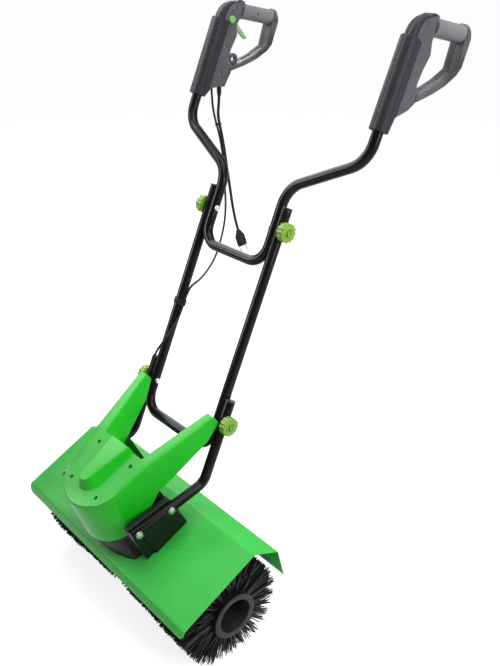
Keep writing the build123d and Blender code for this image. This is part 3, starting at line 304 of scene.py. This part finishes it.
def makeFinish(name, own):
    # one finish: drifting colour, scuffs, edge wear with a painted edge highlight and dust with a painted top sheen
    # over it, roughness and bump from the grain
    look = {**finishPlain, "rubbed": own["light"], **own}
    look.setdefault("worn", look["rubbed"])
    finish = bpy.data.materials.new(name)
    finish.use_nodes = True
    tree = finish.node_tree
    shader = tree.nodes["Principled BSDF"]
    grain = groupNode(tree, surfaceGrain, Grain_Scale=look["grain"], Drift_Scale=look["drift"])
    scuffs = groupNode(tree, handlingScuffs, Amount=look["scuffs"], Streak=look["streak"])
    dust = groupNode(tree, dustAndTopSheen, Amount=look["dust"])
    wear = groupNode(tree, edgeWearAndHighlight, Amount=look["wear"], Reach=look["edgeReach"])
    drifted = stepNode(tree, grain.outputs["Drift"], *look["driftSpan"])
    colour = mixColour(tree, drifted, look["dark"], look["light"])
    # grip zones: the dark pod and head face, a painted highlight on the bar and painted shade on the guard's back
    if "zone" in look:
        zones = groupNode(tree, gripZones)
        for label, pair in look["zone"].items():
            colour = mixColour(tree, zones.outputs[label], colour, mixColour(tree, drifted, *pair))
    colour = mixColour(tree, scuffs.outputs["Mask"], colour, look["rubbed"])
    # paler edges: rubbed wear and a painted edge highlight
    colour = mixColour(tree, wear.outputs["Mask"], colour, look["worn"])
    # paler up-facing faces: settled dust and a painted top sheen
    colour = mixColour(tree, dust.outputs["Mask"], colour, look["dustAndSheenColour"])
    tree.links.new(colour, shader.inputs["Base Color"])
    spread = mathNode(tree, "MULTIPLY", drifted, look["roughDrift"])
    rough = mathNode(tree, "ADD", spread, look["rough"])
    rubbedGloss = mathNode(tree, "MULTIPLY", scuffs.outputs["Mask"], look["scuffRough"])
    dulled = mathNode(tree, "MULTIPLY", dust.outputs["Mask"], look["dustRough"])
    rough = mathNode(tree, "ADD", mathNode(tree, "ADD", rough, rubbedGloss), dulled, True)
    tree.links.new(rough, shader.inputs["Roughness"])
    shader.inputs["Metallic"].default_value = look["metal"]
    shader.inputs["Specular IOR Level"].default_value = look["specular"]
    bump = tree.nodes.new("ShaderNodeBump")
    bump.inputs["Strength"].default_value = look["bump"]
    bump.inputs["Distance"].default_value = look["depth"]
    tree.links.new(grain.outputs["Height"], bump.inputs["Height"])
    tree.links.new(bump.outputs["Normal"], shader.inputs["Normal"])
    return finish


finishSet = {
    "hood_green": {
        "dark": (0.034, 0.5, 0.056), "light": (0.044, 0.55, 0.07), "rubbed": (0.08, 0.58, 0.12), "rough": 0.4,
        # the dust amount here gives settled dust and a painted top sheen
        "grain": 750.0, "bump": 0.1, "specular": 0.28, "dust": 0.1, "scuffs": 0.12, "streak": (0.15, 1.0, 1.0),
        # paler edges: rubbed wear and a painted highlight along the crease and rims
        "wear": 0.6, "worn": (0.16, 0.62, 0.22), "edgeReach": 0.0018,
    },
    "cover_green": {
        "dark": (0.005, 0.46, 0.008), "light": (0.009, 0.51, 0.013), "rubbed": (0.05, 0.57, 0.07),
        # the dust amount here gives settled dust and a painted top sheen
        "rough": 0.34, "grain": 1300.0, "bump": 0.12, "specular": 0.28, "dust": 0.12, "scuffs": 0.12,
        # paler rims: rubbed wear and a painted rim highlight
        "wear": 0.5, "worn": (0.16, 0.66, 0.24), "edgeReach": 0.002,
    },
    "knob_green": {
        "dark": (0.17, 0.36, 0.02), "light": (0.22, 0.42, 0.03), "rough": 0.34, "grain": 1500.0, "drift": 40.0,
        "bump": 0.15, "scuffs": 0.3, "rubbed": (0.3, 0.5, 0.08),
    },
    "switch_green": {
        "dark": (0.2, 0.42, 0.13), "light": (0.27, 0.49, 0.19), "rough": 0.4, "grain": 1500.0, "drift": 40.0,
        "bump": 0.15, "scuffs": 0.3, "rubbed": (0.42, 0.6, 0.32),
    },
    "housing_black": {
        "dark": (0.0045, 0.009, 0.005), "light": (0.0075, 0.0125, 0.008), "rubbed": (0.022, 0.027, 0.023),
        "rough": 0.4, "grain": 1600.0, "bump": 0.25, "specular": 0.22, "dust": 0.08, "scuffs": 0.25,
    },
    "gear_case": {
        "dark": (0.3, 0.31, 0.32), "light": (0.42, 0.43, 0.44), "rough": 0.45, "grain": 700.0, "bump": 0.5,
        "metal": 1.0,
    },
    "steel": {
        "dark": (0.52, 0.53, 0.54), "light": (0.66, 0.66, 0.65), "rubbed": (0.75, 0.75, 0.74), "rough": 0.24,
        "grain": 2400.0, "drift": 60.0, "bump": 0.12, "metal": 1.0, "dust": 0.06, "scuffs": 0.5,
    },
    "wheel_bronze": {
        "dark": (0.42, 0.25, 0.09), "light": (0.55, 0.36, 0.14), "rough": 0.32, "grain": 1800.0, "drift": 50.0,
        "metal": 1.0,
    },
    "lamination": {
        "dark": (0.2, 0.2, 0.21), "light": (0.3, 0.3, 0.31), "rough": 0.42, "grain": 1500.0, "drift": 60.0,
        "metal": 1.0,
    },
    "copper": {
        "dark": (0.55, 0.23, 0.11), "light": (0.7, 0.33, 0.18), "rough": 0.3, "grain": 1800.0, "drift": 60.0,
        "metal": 1.0,
    },
    "carbon": {
        "dark": (0.02, 0.02, 0.021), "light": (0.04, 0.04, 0.042), "rough": 0.6, "grain": 2000.0, "drift": 80.0,
    },
    "inner_plastic": {"dark": (0.03, 0.03, 0.032), "light": (0.05, 0.05, 0.052), "rough": 0.5, "grain": 1500.0},
    "roller_black": {
        "dark": (0.0085, 0.0105, 0.0095), "light": (0.014, 0.0165, 0.015), "rubbed": (0.04, 0.043, 0.04),
        "rough": 0.5, "grain": 1100.0, "bump": 0.3, "specular": 0.3, "scuffs": 0.35, "dust": 0.12,
    },
    "bristle_black": {
        "dark": (0.0045, 0.005, 0.005), "light": (0.011, 0.012, 0.012), "rough": 0.42, "grain": 500.0,
        "drift": 90.0, "bump": 0.1, "specular": 0.3, "scuffs": 0.1, "dust": 0.04,
    },
    "tube_black": {
        "dark": (0.0028, 0.003, 0.0032), "light": (0.0045, 0.0048, 0.005), "rubbed": (0.03, 0.03, 0.031),
        "rough": 0.2, "grain": 850.0, "bump": 0.03, "specular": 0.17, "dust": 0.015, "scuffs": 0.1,
        "streak": (1.0, 1.0, 0.2),
    },
    "cap_grey": {
        "dark": (0.03, 0.031, 0.033), "light": (0.05, 0.052, 0.055), "rough": 0.48, "grain": 1500.0,
        "bump": 0.25,
    },
    "grip_grey": {
        "dark": (0.078, 0.082, 0.092), "light": (0.096, 0.101, 0.112), "rubbed": (0.13, 0.135, 0.147),
        "rough": 0.5, "grain": 1700.0, "bump": 0.06, "specular": 0.26, "scuffs": 0.25, "dust": 0.08,
        # paler edges: rubbed wear and a painted edge highlight
        "wear": 0.45, "worn": (0.17, 0.175, 0.185), "edgeReach": 0.0018,
        # zone colours: the dark pod and head face, a painted highlight on the bar and painted shade on the guard's
        # back
        "zone": {
            "Guard": ((0.036, 0.038, 0.044), (0.046, 0.048, 0.054)),
            "Bar": ((0.165, 0.168, 0.178), (0.195, 0.198, 0.208)),
            "Mask": ((0.016, 0.017, 0.0225), (0.0215, 0.023, 0.029)),
        },
    },
    "cord_black": {
        "dark": (0.005, 0.005, 0.0055), "light": (0.0095, 0.0095, 0.0105), "rough": 0.46, "grain": 1200.0,
        "drift": 30.0, "bump": 0.06, "specular": 0.24, "scuffs": 0.15, "dust": 0.04, "wear": 0.1,
    },
    "pin_metal": {
        "dark": (0.6, 0.57, 0.5), "light": (0.74, 0.71, 0.64), "rough": 0.2, "grain": 2200.0, "drift": 80.0,
        "metal": 1.0,
    },
}
finishes = {name: makeFinish(name, look) for name, look in finishSet.items()}
slotOf = {row["node"]: row["material_slot"] for row in frame["record"]["subparts"]}
print("finishes made:", len(finishes))


# Cords: the routes of the solids, as smooth splines
cordSet = {"steps": 10, "sides": 4, "order": 3}
leadSet = {
    "diameter": 0.0052,
    "upper": [
        (0.27, -0.20597, 1.08105), (0.27, -0.20597, 1.04105), (0.271, -0.21297, 0.99605),
        (0.27, -0.22697, 0.95305), (0.267, -0.23397, 0.90805), (0.262, -0.23397, 0.86205),
        (0.254, -0.22997, 0.81605), (0.243, -0.22197, 0.77205), (0.226, -0.20097, 0.73305),
        (0.205, -0.16797, 0.69805), (0.1818, -0.13496, 0.68174), (0.1578, -0.10096, 0.67574),
        (0.1338, -0.06596, 0.67374), (0.1118, -0.03196, 0.67324), (0.0988, 0.00724, 0.67104),
        (0.0988, 0.02204, 0.63824),
    ],
    "lower": [
        (0.0988, 0.02204, 0.63824), (0.0988, 0.03394, 0.61184), (0.1005, 0.05524, 0.58414),
        (0.104, 0.07884, 0.55854), (0.109, 0.10154, 0.53254), (0.115, 0.10821, 0.49604),
        (0.116, 0.13184, 0.47135),
    ],
    "upperBend": ((0.2, -0.16, 0.69), (0.1, -0.0, 0.672)),
    "lowerBend": ((0.0988, 0.032, 0.615), (0.114, 0.107, 0.5)),
}
mainsSet = {
    "diameter": 0.0068,
    "route": [
        (0.27, -0.22882, 1.06461), (0.27, -0.22882, 1.03261), (0.2678, -0.22122, 0.99561),
        (0.2636, -0.22952, 0.95261), (0.258, -0.23382, 0.90761), (0.251, -0.23532, 0.86361),
        (0.2455, -0.23882, 0.81961), (0.239, -0.24082, 0.77561), (0.23, -0.24382, 0.73361),
        (0.222, -0.24782, 0.70561),
    ],
}


def routeCurve(name, points, diameter):
    data = bpy.data.curves.new(name, "CURVE")
    data.dimensions = "3D"
    data.resolution_u = cordSet["steps"]
    data.bevel_depth = diameter / 2
    data.bevel_resolution = cordSet["sides"]
    data.use_fill_caps = True
    spline = data.splines.new("NURBS")
    spline.points.add(len(points) - 1)
    for point, place in zip(spline.points, points):
        point.co = (*place, 1.0)
    spline.order_u = cordSet["order"]
    spline.use_endpoint_u = True
    curve = bpy.data.objects.new(name, data)
    bpy.context.scene.collection.objects.link(curve)
    return curve


def centreline(curve):
    width = curve.data.bevel_depth
    curve.data.bevel_depth = 0.0
    bpy.context.view_layer.update()
    line = bpy.data.meshes.new_from_object(curve.evaluated_get(bpy.context.evaluated_depsgraph_get()))
    curve.data.bevel_depth = width
    bpy.context.view_layer.update()
    return [tuple(vertex.co) for vertex in line.vertices]


def makeLead(name, points, diameter, node):
    # a mesh tube along the route's spline, with the spline's centreline returned beside it
    curve = routeCurve(name, points, diameter)
    line = centreline(curve)
    pickOnly(curve)
    bpy.ops.object.convert(target="MESH")
    lead = bpy.context.active_object
    bpy.ops.object.shade_smooth()
    lead.data.materials.clear()
    lead.data.materials.append(finishes["cord_black"])
    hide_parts(node)
    return lead, line


upperLead, upperLine = makeLead("motorLeadUpper", leadSet["upper"], leadSet["diameter"], "motor_lead_upper")
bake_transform(upperLead)
lowerLead, lowerLine = makeLead("motorLeadLower", leadSet["lower"], leadSet["diameter"], "motor_lead_lower")
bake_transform(lowerLead)
mainsLead, mainsLine = makeLead("mainsLead", mainsSet["route"], mainsSet["diameter"], "mains_lead")
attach(mainsLead, "upper_handle")
print("cords laid")


# Dressed copies of the solids: merged, edges eased or rounded, smooth
dressPlain = {
    "steps": 2, "angle": 45.0, "smooth": 32.0, "merge": 0.00001, "flat": 0.4,
    "roundSteps": 3, "roundMerge": 0.00002, "manySided": 7, "roomPerRound": 2.2, "rearFacing": -0.35,
}
dressSet = {
    "hood": {"ease": 0.0006, "angle": 40.0},
    "motor_cover": {"round": 0.0032, "sharp": 35.0},
    "base_housing": {"round": 0.003, "sharp": 35.0},
    "bracket_left": {"ease": 0.0008},
    "bracket_right": {"ease": 0.0008},
    "mid_handle": {"ease": 0.0008},
    "upper_handle": {"ease": 0.0008},
    "grip_left_outer": {"ease": 0.0004, "angle": 50.0},
    "grip_left_inner": {"ease": 0.0004, "angle": 50.0},
    "grip_right_outer": {"ease": 0.0004, "angle": 50.0},
    "grip_right_inner": {"ease": 0.0004, "angle": 50.0},
    "bracket_caps": {"ease": 0.001},
    "mid_caps": {"ease": 0.001},
    "roller_core_left": {"ease": 0.001},
    "roller_core_right": {"ease": 0.001},
    "lower_knob_left": {"ease": 0.0009, "angle": 40.0},
    "lower_knob_right": {"ease": 0.0009, "angle": 40.0},
    "upper_knob_left": {"ease": 0.0009, "angle": 40.0},
    "upper_knob_right": {"ease": 0.0009, "angle": 40.0},
    "bracket_bolts": {"ease": 0.0005, "angle": 40.0},
    "lower_joint_bolts": {"ease": 0.0004},
    "upper_joint_bolts": {"ease": 0.0004},
    "cover_screws": {"ease": 0.0003},
    "trigger": {"ease": 0.0009, "finish": "switch_green"},
    "lock_button": {"ease": 0.0005, "angle": 40.0, "finish": "switch_green"},
    "cord_hook": {"ease": 0.0008},
    "strain_relief": {"ease": 0.0005},
    "cable_clip": {"ease": 0.0005},
    "cable_tie": {"ease": 0.0004},
    "plug": {"ease": 0.0008},
    "plug_pins": {"ease": 0.0006},
}


def plainName(node):
    first, *rest = node.split("_")
    return first + "".join(word.capitalize() for word in rest) + "Dressed"


def roundEdges(piece, look):
    # larger rounds on the outer edges whose faces are wide enough, apart from those at the rear
    mesh = piece.data
    sides = {}
    for face in mesh.polygons:
        around = sum((mesh.vertices[a].co - mesh.vertices[b].co).length for a, b in face.edge_keys)
        for key in face.edge_keys:
            span = (mesh.vertices[key[0]].co - mesh.vertices[key[1]].co).length
            wide = face.area / span if len(face.vertices) < look["manySided"] else 2 * face.area / around
            sides.setdefault(key, []).append((face.normal, face.center, wide))
    for face in mesh.polygons:
        face.select = False
    for edge in mesh.edges:
        met = sides[edge.key]
        edge.select = False
        if len(met) == 2:
            (firstNormal, firstCentre, firstWide), (nextNormal, nextCentre, nextWide) = met
            middle = (mesh.vertices[edge.key[0]].co + mesh.vertices[edge.key[1]].co) / 2
            outer = (nextCentre - middle).dot(firstNormal) < 0 or (firstCentre - middle).dot(nextNormal) < 0
            turned = firstNormal.angle(nextNormal, 0.0) > radians(look["sharp"])
            rear = min(firstNormal.y, nextNormal.y) < look["rearFacing"]
            roomy = min(firstWide, nextWide) > look["roomPerRound"] * look["round"]
            edge.select = outer and turned and not rear and roomy
    for corner in mesh.vertices:
        corner.select = False
    bpy.ops.object.mode_set(mode="EDIT")
    bpy.ops.mesh.select_mode(type="EDGE")
    bpy.ops.mesh.bevel(offset=look["round"], segments=look["roundSteps"], affect="EDGES", clamp_overlap=False)
    bpy.ops.mesh.select_all(action="SELECT")
    bpy.ops.mesh.remove_doubles(threshold=look["roundMerge"])
    bpy.ops.object.mode_set(mode="OBJECT")


def dressNode(node, own):
    look = {**dressPlain, **own}
    piece = bpy.data.objects.new(plainName(node), frame["nodes"][node].data.copy())
    bpy.context.scene.collection.objects.link(piece)
    pickOnly(piece)
    bpy.ops.mesh.customdata_custom_splitnormals_clear()
    bpy.ops.object.mode_set(mode="EDIT")
    bpy.ops.mesh.select_all(action="SELECT")
    bpy.ops.mesh.remove_doubles(threshold=look["merge"])
    bpy.ops.mesh.dissolve_limited(angle_limit=radians(look["flat"]))
    bpy.ops.object.mode_set(mode="OBJECT")
    if "round" in look:
        roundEdges(piece, look)
    if "ease" in look:
        bevel = piece.modifiers.new("easedEdges", "BEVEL")
        bevel.width = look["ease"]
        bevel.segments = look["steps"]
        bevel.limit_method = "ANGLE"
        bevel.angle_limit = radians(look["angle"])
        bevel.use_clamp_overlap = True
        bpy.ops.object.modifier_apply(modifier="easedEdges")
    bpy.ops.object.shade_smooth_by_angle(angle=radians(look["smooth"]))
    piece.data.materials.clear()
    piece.data.materials.append(finishes[look.get("finish", slotOf[node])])
    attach(piece, bodyOf[node])
    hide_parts(node)
    return piece


dressed = {node: dressNode(node, look) for node, look in dressSet.items()}
for node, solid in frame["nodes"].items():
    solid.data.materials.clear()
    solid.data.materials.append(finishes[slotOf[node]])
print("solids dressed:", len(dressed))


# Raised hub with its blind hole in the middle of each knob
hubSet = {
    "radius": 0.0062, "proud": 0.0022, "sunk": 0.001, "wall": 0.0032, "hole": 0.0026, "ease": 0.0007,
    "sides": 32, "steps": 2, "smooth": 35.0, "capFacing": 0.9,
    "knobs": ("lower_knob_left", "lower_knob_right", "upper_knob_left", "upper_knob_right"),
}


def makeHub(knob):
    low, high = (Vector(corner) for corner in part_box(knob))
    sign = 1.0 if low.x > 0 else -1.0
    face = high.x if sign > 0 else low.x
    depth = hubSet["proud"] + hubSet["sunk"]
    middle = (low + high) / 2
    bpy.ops.object.select_all(action="DESELECT")
    bpy.ops.mesh.primitive_cylinder_add(
        vertices=hubSet["sides"], radius=hubSet["radius"], depth=depth, rotation=(0.0, sign * pi / 2, 0.0),
        location=(face + sign * (hubSet["proud"] - depth / 2), middle.y, middle.z),
    )
    bpy.ops.object.transform_apply(location=True, rotation=True, scale=True)
    hub = bpy.context.active_object
    hub.name = plainName(knob).replace("Dressed", "Hub")
    bpy.ops.object.mode_set(mode="EDIT")
    bpy.ops.mesh.select_all(action="DESELECT")
    bpy.ops.object.mode_set(mode="OBJECT")
    for cap in hub.data.polygons:
        cap.select = cap.normal.x * sign > hubSet["capFacing"]
    bpy.ops.object.mode_set(mode="EDIT")
    bpy.ops.mesh.select_mode(type="FACE")
    bpy.ops.mesh.inset(thickness=hubSet["wall"])
    bpy.ops.mesh.extrude_region_move(TRANSFORM_OT_translate={"value": (-sign * hubSet["hole"], 0.0, 0.0)})
    bpy.ops.object.mode_set(mode="OBJECT")
    eased = hub.modifiers.new("hubEdge", "BEVEL")
    eased.width = hubSet["ease"]
    eased.segments = hubSet["steps"]
    eased.limit_method = "ANGLE"
    bpy.ops.object.modifier_apply(modifier="hubEdge")
    bpy.ops.object.shade_smooth_by_angle(angle=radians(hubSet["smooth"]))
    hub.data.materials.append(finishes["knob_green"])
    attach(hub, bodyOf[knob])


for knob in hubSet["knobs"]:
    makeHub(knob)
print("knob hubs made")


# Brush rollers: bunched filaments on a sleeve
brushSet = {
    "centre": (0.0, 0.20612, 0.113761), "tip": 0.1165, "root": 0.0515, "from": 0.029, "to": 0.285,
    "rows": 34, "tufts": 26, "seed": 41, "kinds": 8, "margin": 0.006, "stagger": (0.72, 0.28), "shift": 0.0012,
    "swing": 2.0, "tilt": 0.05, "flare": 0.07, "flareFrom": 0.13, "flareRun": 0.05,
    "sleeve": 0.052, "sleeveSides": 48, "wall": 0.003, "ground": 0.0004, "smooth": 70.0,
}
tuftSet = {
    "filaments": 9, "short": 4, "sides": 3, "thick": 0.0015, "taper": 0.6, "bunch": 0.0034, "turn": 0.4,
    "midAway": 0.25, "away": (0.6, 1.0), "tall": (0.93, 1.0), "low": (0.45, 0.7), "sway": 0.0016,
    "bends": ((0.245, 1.0), (0.56, 2.5)),
}


def makeTuft(seed):
    dice = random.Random(seed)
    strands = []
    reach = brushSet["tip"] - brushSet["root"]
    for count in range(tuftSet["filaments"] + tuftSet["short"]):
        short = count >= tuftSet["filaments"]
        turn = 2 * pi * count / tuftSet["filaments"] + dice.uniform(-tuftSet["turn"], tuftSet["turn"])
        away = tuftSet["bunch"] * (tuftSet["midAway"] if count == 0 else dice.uniform(*tuftSet["away"]))
        lean = Vector((cos(turn), sin(turn), 0.0)) * away
        bpy.ops.object.select_all(action="DESELECT")
        bpy.ops.mesh.primitive_circle_add(
            vertices=tuftSet["sides"], radius=tuftSet["thick"], fill_type="NGON", location=(lean.x, lean.y, 0.0),
            rotation=(0.0, 0.0, dice.uniform(0.0, pi)),
        )
        bpy.ops.object.transform_apply(location=True, rotation=True, scale=True)
        bpy.ops.object.mode_set(mode="EDIT")
        bpy.ops.mesh.select_all(action="SELECT")
        tall = reach * dice.uniform(*tuftSet["low" if short else "tall"])
        sway = Vector([dice.uniform(-tuftSet["sway"], tuftSet["sway"]) for way in range(2)] + [0.0])
        for leaning, swaying in tuftSet["bends"]:
            move = lean * leaning + sway * swaying
            bpy.ops.mesh.extrude_region_move(TRANSFORM_OT_translate={"value": (move.x, move.y, tall / 2)})
        bpy.ops.transform.resize(value=(tuftSet["taper"], tuftSet["taper"], 1.0))
        bpy.ops.object.mode_set(mode="OBJECT")
        strands.append(bpy.context.active_object)
    bpy.ops.object.select_all(action="DESELECT")
    for strand in strands:
        strand.select_set(True)
    bpy.context.view_layer.objects.active = strands[0]
    bpy.ops.object.join()
    tuft = bpy.context.active_object
    bpy.ops.object.mode_set(mode="EDIT")
    bpy.ops.mesh.select_all(action="SELECT")
    bpy.ops.mesh.normals_make_consistent(inside=False)
    bpy.ops.object.mode_set(mode="OBJECT")
    return tuft


def makeBrush(sign, tufts, node, name):
    dice = random.Random(brushSet["seed"] + sign)
    centre = Vector(brushSet["centre"])
    middle = (brushSet["from"] + brushSet["to"]) / 2
    bpy.ops.object.select_all(action="DESELECT")
    bpy.ops.mesh.primitive_cylinder_add(
        vertices=brushSet["sleeveSides"], radius=brushSet["sleeve"], depth=brushSet["to"] - brushSet["from"],
        end_fill_type="NOTHING",
        location=centre + Vector((sign * middle, 0.0, 0.0)), rotation=(0.0, pi / 2, 0.0),
    )
    bpy.ops.object.transform_apply(location=True, rotation=True, scale=True)
    sleeve = bpy.context.active_object
    wall = sleeve.modifiers.new("sleeveWall", "SOLIDIFY")
    wall.thickness = brushSet["wall"]
    wall.offset = -1.0
    bpy.ops.object.modifier_apply(modifier="sleeveWall")
    parts = [sleeve]
    first = brushSet["from"] + brushSet["margin"]
    pitch = (brushSet["to"] - brushSet["from"] - 2 * brushSet["margin"]) / brushSet["tufts"]
    for row in range(brushSet["rows"]):
        turn = 2 * pi * (row + 0.5) / brushSet["rows"]
        for place in range(brushSet["tufts"]):
            along = first + pitch * (place + brushSet["stagger"][row % 2]) + dice.uniform(-1, 1) * brushSet["shift"]
            swing = turn + radians(dice.uniform(-brushSet["swing"], brushSet["swing"]))
            out = Vector((dice.uniform(-brushSet["tilt"], brushSet["tilt"]), sin(swing), -cos(swing))).normalized()
            root = centre + Vector((sign * along, sin(swing) * brushSet["root"], -cos(swing) * brushSet["root"]))
            copy = bpy.data.objects.new("tuft", tufts[dice.randrange(len(tufts))].data.copy())
            bpy.context.scene.collection.objects.link(copy)
            spin = out.to_track_quat("Z",
            "Y").to_matrix().to_4x4() @ Matrix.Rotation(dice.uniform(0, 2 * pi), 4, "Z")
            outward = min(1.0, max(0.0, (along - brushSet["flareFrom"]) / brushSet["flareRun"]))
            longer = 1.0 + brushSet["flare"] * outward
            copy.data.transform(Matrix.Translation(root) @ spin @ Matrix.Diagonal((1.0, 1.0, longer, 1.0)))
            parts.append(copy)
    bpy.ops.object.select_all(action="DESELECT")
    for part in parts:
        part.select_set(True)
    bpy.context.view_layer.objects.active = sleeve
    bpy.ops.object.join()
    brush = bpy.context.active_object
    brush.name = name
    bpy.ops.object.mode_set(mode="EDIT")
    bpy.ops.mesh.select_all(action="SELECT")
    bpy.ops.mesh.bisect(
        plane_co=(0.0, 0.0, brushSet["ground"]), plane_no=(0.0, 0.0, 1.0), clear_inner=True, use_fill=True
    )
    bpy.ops.object.mode_set(mode="OBJECT")
    bpy.ops.object.shade_smooth_by_angle(angle=radians(brushSet["smooth"]))
    brush.data.materials.clear()
    brush.data.materials.append(finishes["bristle_black"])
    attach(brush, "brush_rollers")
    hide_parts(node)
    print(name, "faces", len(brush.data.polygons))


tuftKinds = [makeTuft(brushSet["seed"] * 10 + kind) for kind in range(brushSet["kinds"])]
makeBrush(-1, tuftKinds, "bristles_left", "brushLeft")
makeBrush(1, tuftKinds, "bristles_right", "brushRight")
for tuft in tuftKinds:
    bpy.data.objects.remove(tuft)
print("brushes made")


# Floor, world and lamps
stageSet = {
    "floor": (0.5, 0.5, 0.5), "floorSize": 60.0, "floorRough": 0.9, "lift": 0.82, "sky": 0.3,
    "glossOnly": ("farSoftbox", "leftStrip"),
    "lamps": [
        ("farSoftbox", (1.75, 0.2, 2.2), (0.0, 0.15, 0.35), 1.5, 52.0),
        ("overhead", (-0.3, -0.1, 2.9), (0.0, 0.05, 0.4), 2.2, 46.0),
        ("nearSide", (-2.3, -0.5, 1.7), (0.0, 0.1, 0.5), 1.5, 42.0),
        ("leftStrip", (1.5, 1.7, 1.6), (0.0, -0.1, 0.9), 0.9, 32.0),
        ("rearTop", (2.0, -1.7, 1.85), (0.0, -0.1, 0.6), 1.2, 34.0),
    ],
}


def makeStage():
    bpy.ops.object.select_all(action="DESELECT")
    bpy.ops.mesh.primitive_plane_add(size=stageSet["floorSize"], location=(0.0, 0.0, 0.0))
    floor = bpy.context.active_object
    floor.name = "floor"
    paper = bpy.data.materials.new("paleFloor")
    paper.use_nodes = True
    tree = paper.node_tree
    shader = tree.nodes["Principled BSDF"]
    shader.inputs["Base Color"].default_value = (*stageSet["floor"], 1.0)
    shader.inputs["Roughness"].default_value = stageSet["floorRough"]
    seen = tree.nodes.new("ShaderNodeLightPath")
    anySeen = mathNode(tree, "ADD", seen.outputs["Is Camera Ray"], seen.outputs["Is Glossy Ray"], True)
    anySeen = mathNode(tree, "ADD", anySeen, seen.outputs["Is Transmission Ray"], True)
    shader.inputs["Emission Color"].default_value = (1.0, 1.0, 1.0, 1.0)
    tree.links.new(mathNode(tree, "MULTIPLY", anySeen, stageSet["lift"]), shader.inputs["Emission Strength"])
    floor.data.materials.append(paper)
    world = bpy.data.worlds.new("studio")
    bpy.context.scene.world = world
    world.use_nodes = True
    sky = world.node_tree.nodes["Background"]
    rays = world.node_tree.nodes.new("ShaderNodeLightPath")
    shown = mathNode(world.node_tree,
    "ADD", rays.outputs["Is Camera Ray"], rays.outputs["Is Transmission Ray"], True)
    strength = mathNode(
        world.node_tree, "ADD", mathNode(world.node_tree,
        "MULTIPLY", shown, 1.0 - stageSet["sky"]), stageSet["sky"]
    )
    sky.inputs["Color"].default_value = (1.0, 1.0, 1.0, 1.0)
    world.node_tree.links.new(strength, sky.inputs["Strength"])
    for name, place, aim, size, power in stageSet["lamps"]:
        data = bpy.data.lights.new(name, "AREA")
        data.size = size
        data.energy = power
        lamp = bpy.data.objects.new(name, data)
        bpy.context.scene.collection.objects.link(lamp)
        lamp.location = place
        lamp.visible_diffuse = name not in stageSet["glossOnly"]
        lamp.rotation_mode = "QUATERNION"
        lamp.rotation_quaternion = (Vector(aim) - Vector(place)).to_track_quat("-Z", "Y")
    bpy.context.scene.view_settings.view_transform = "Standard"


makeStage()
print("stage set")
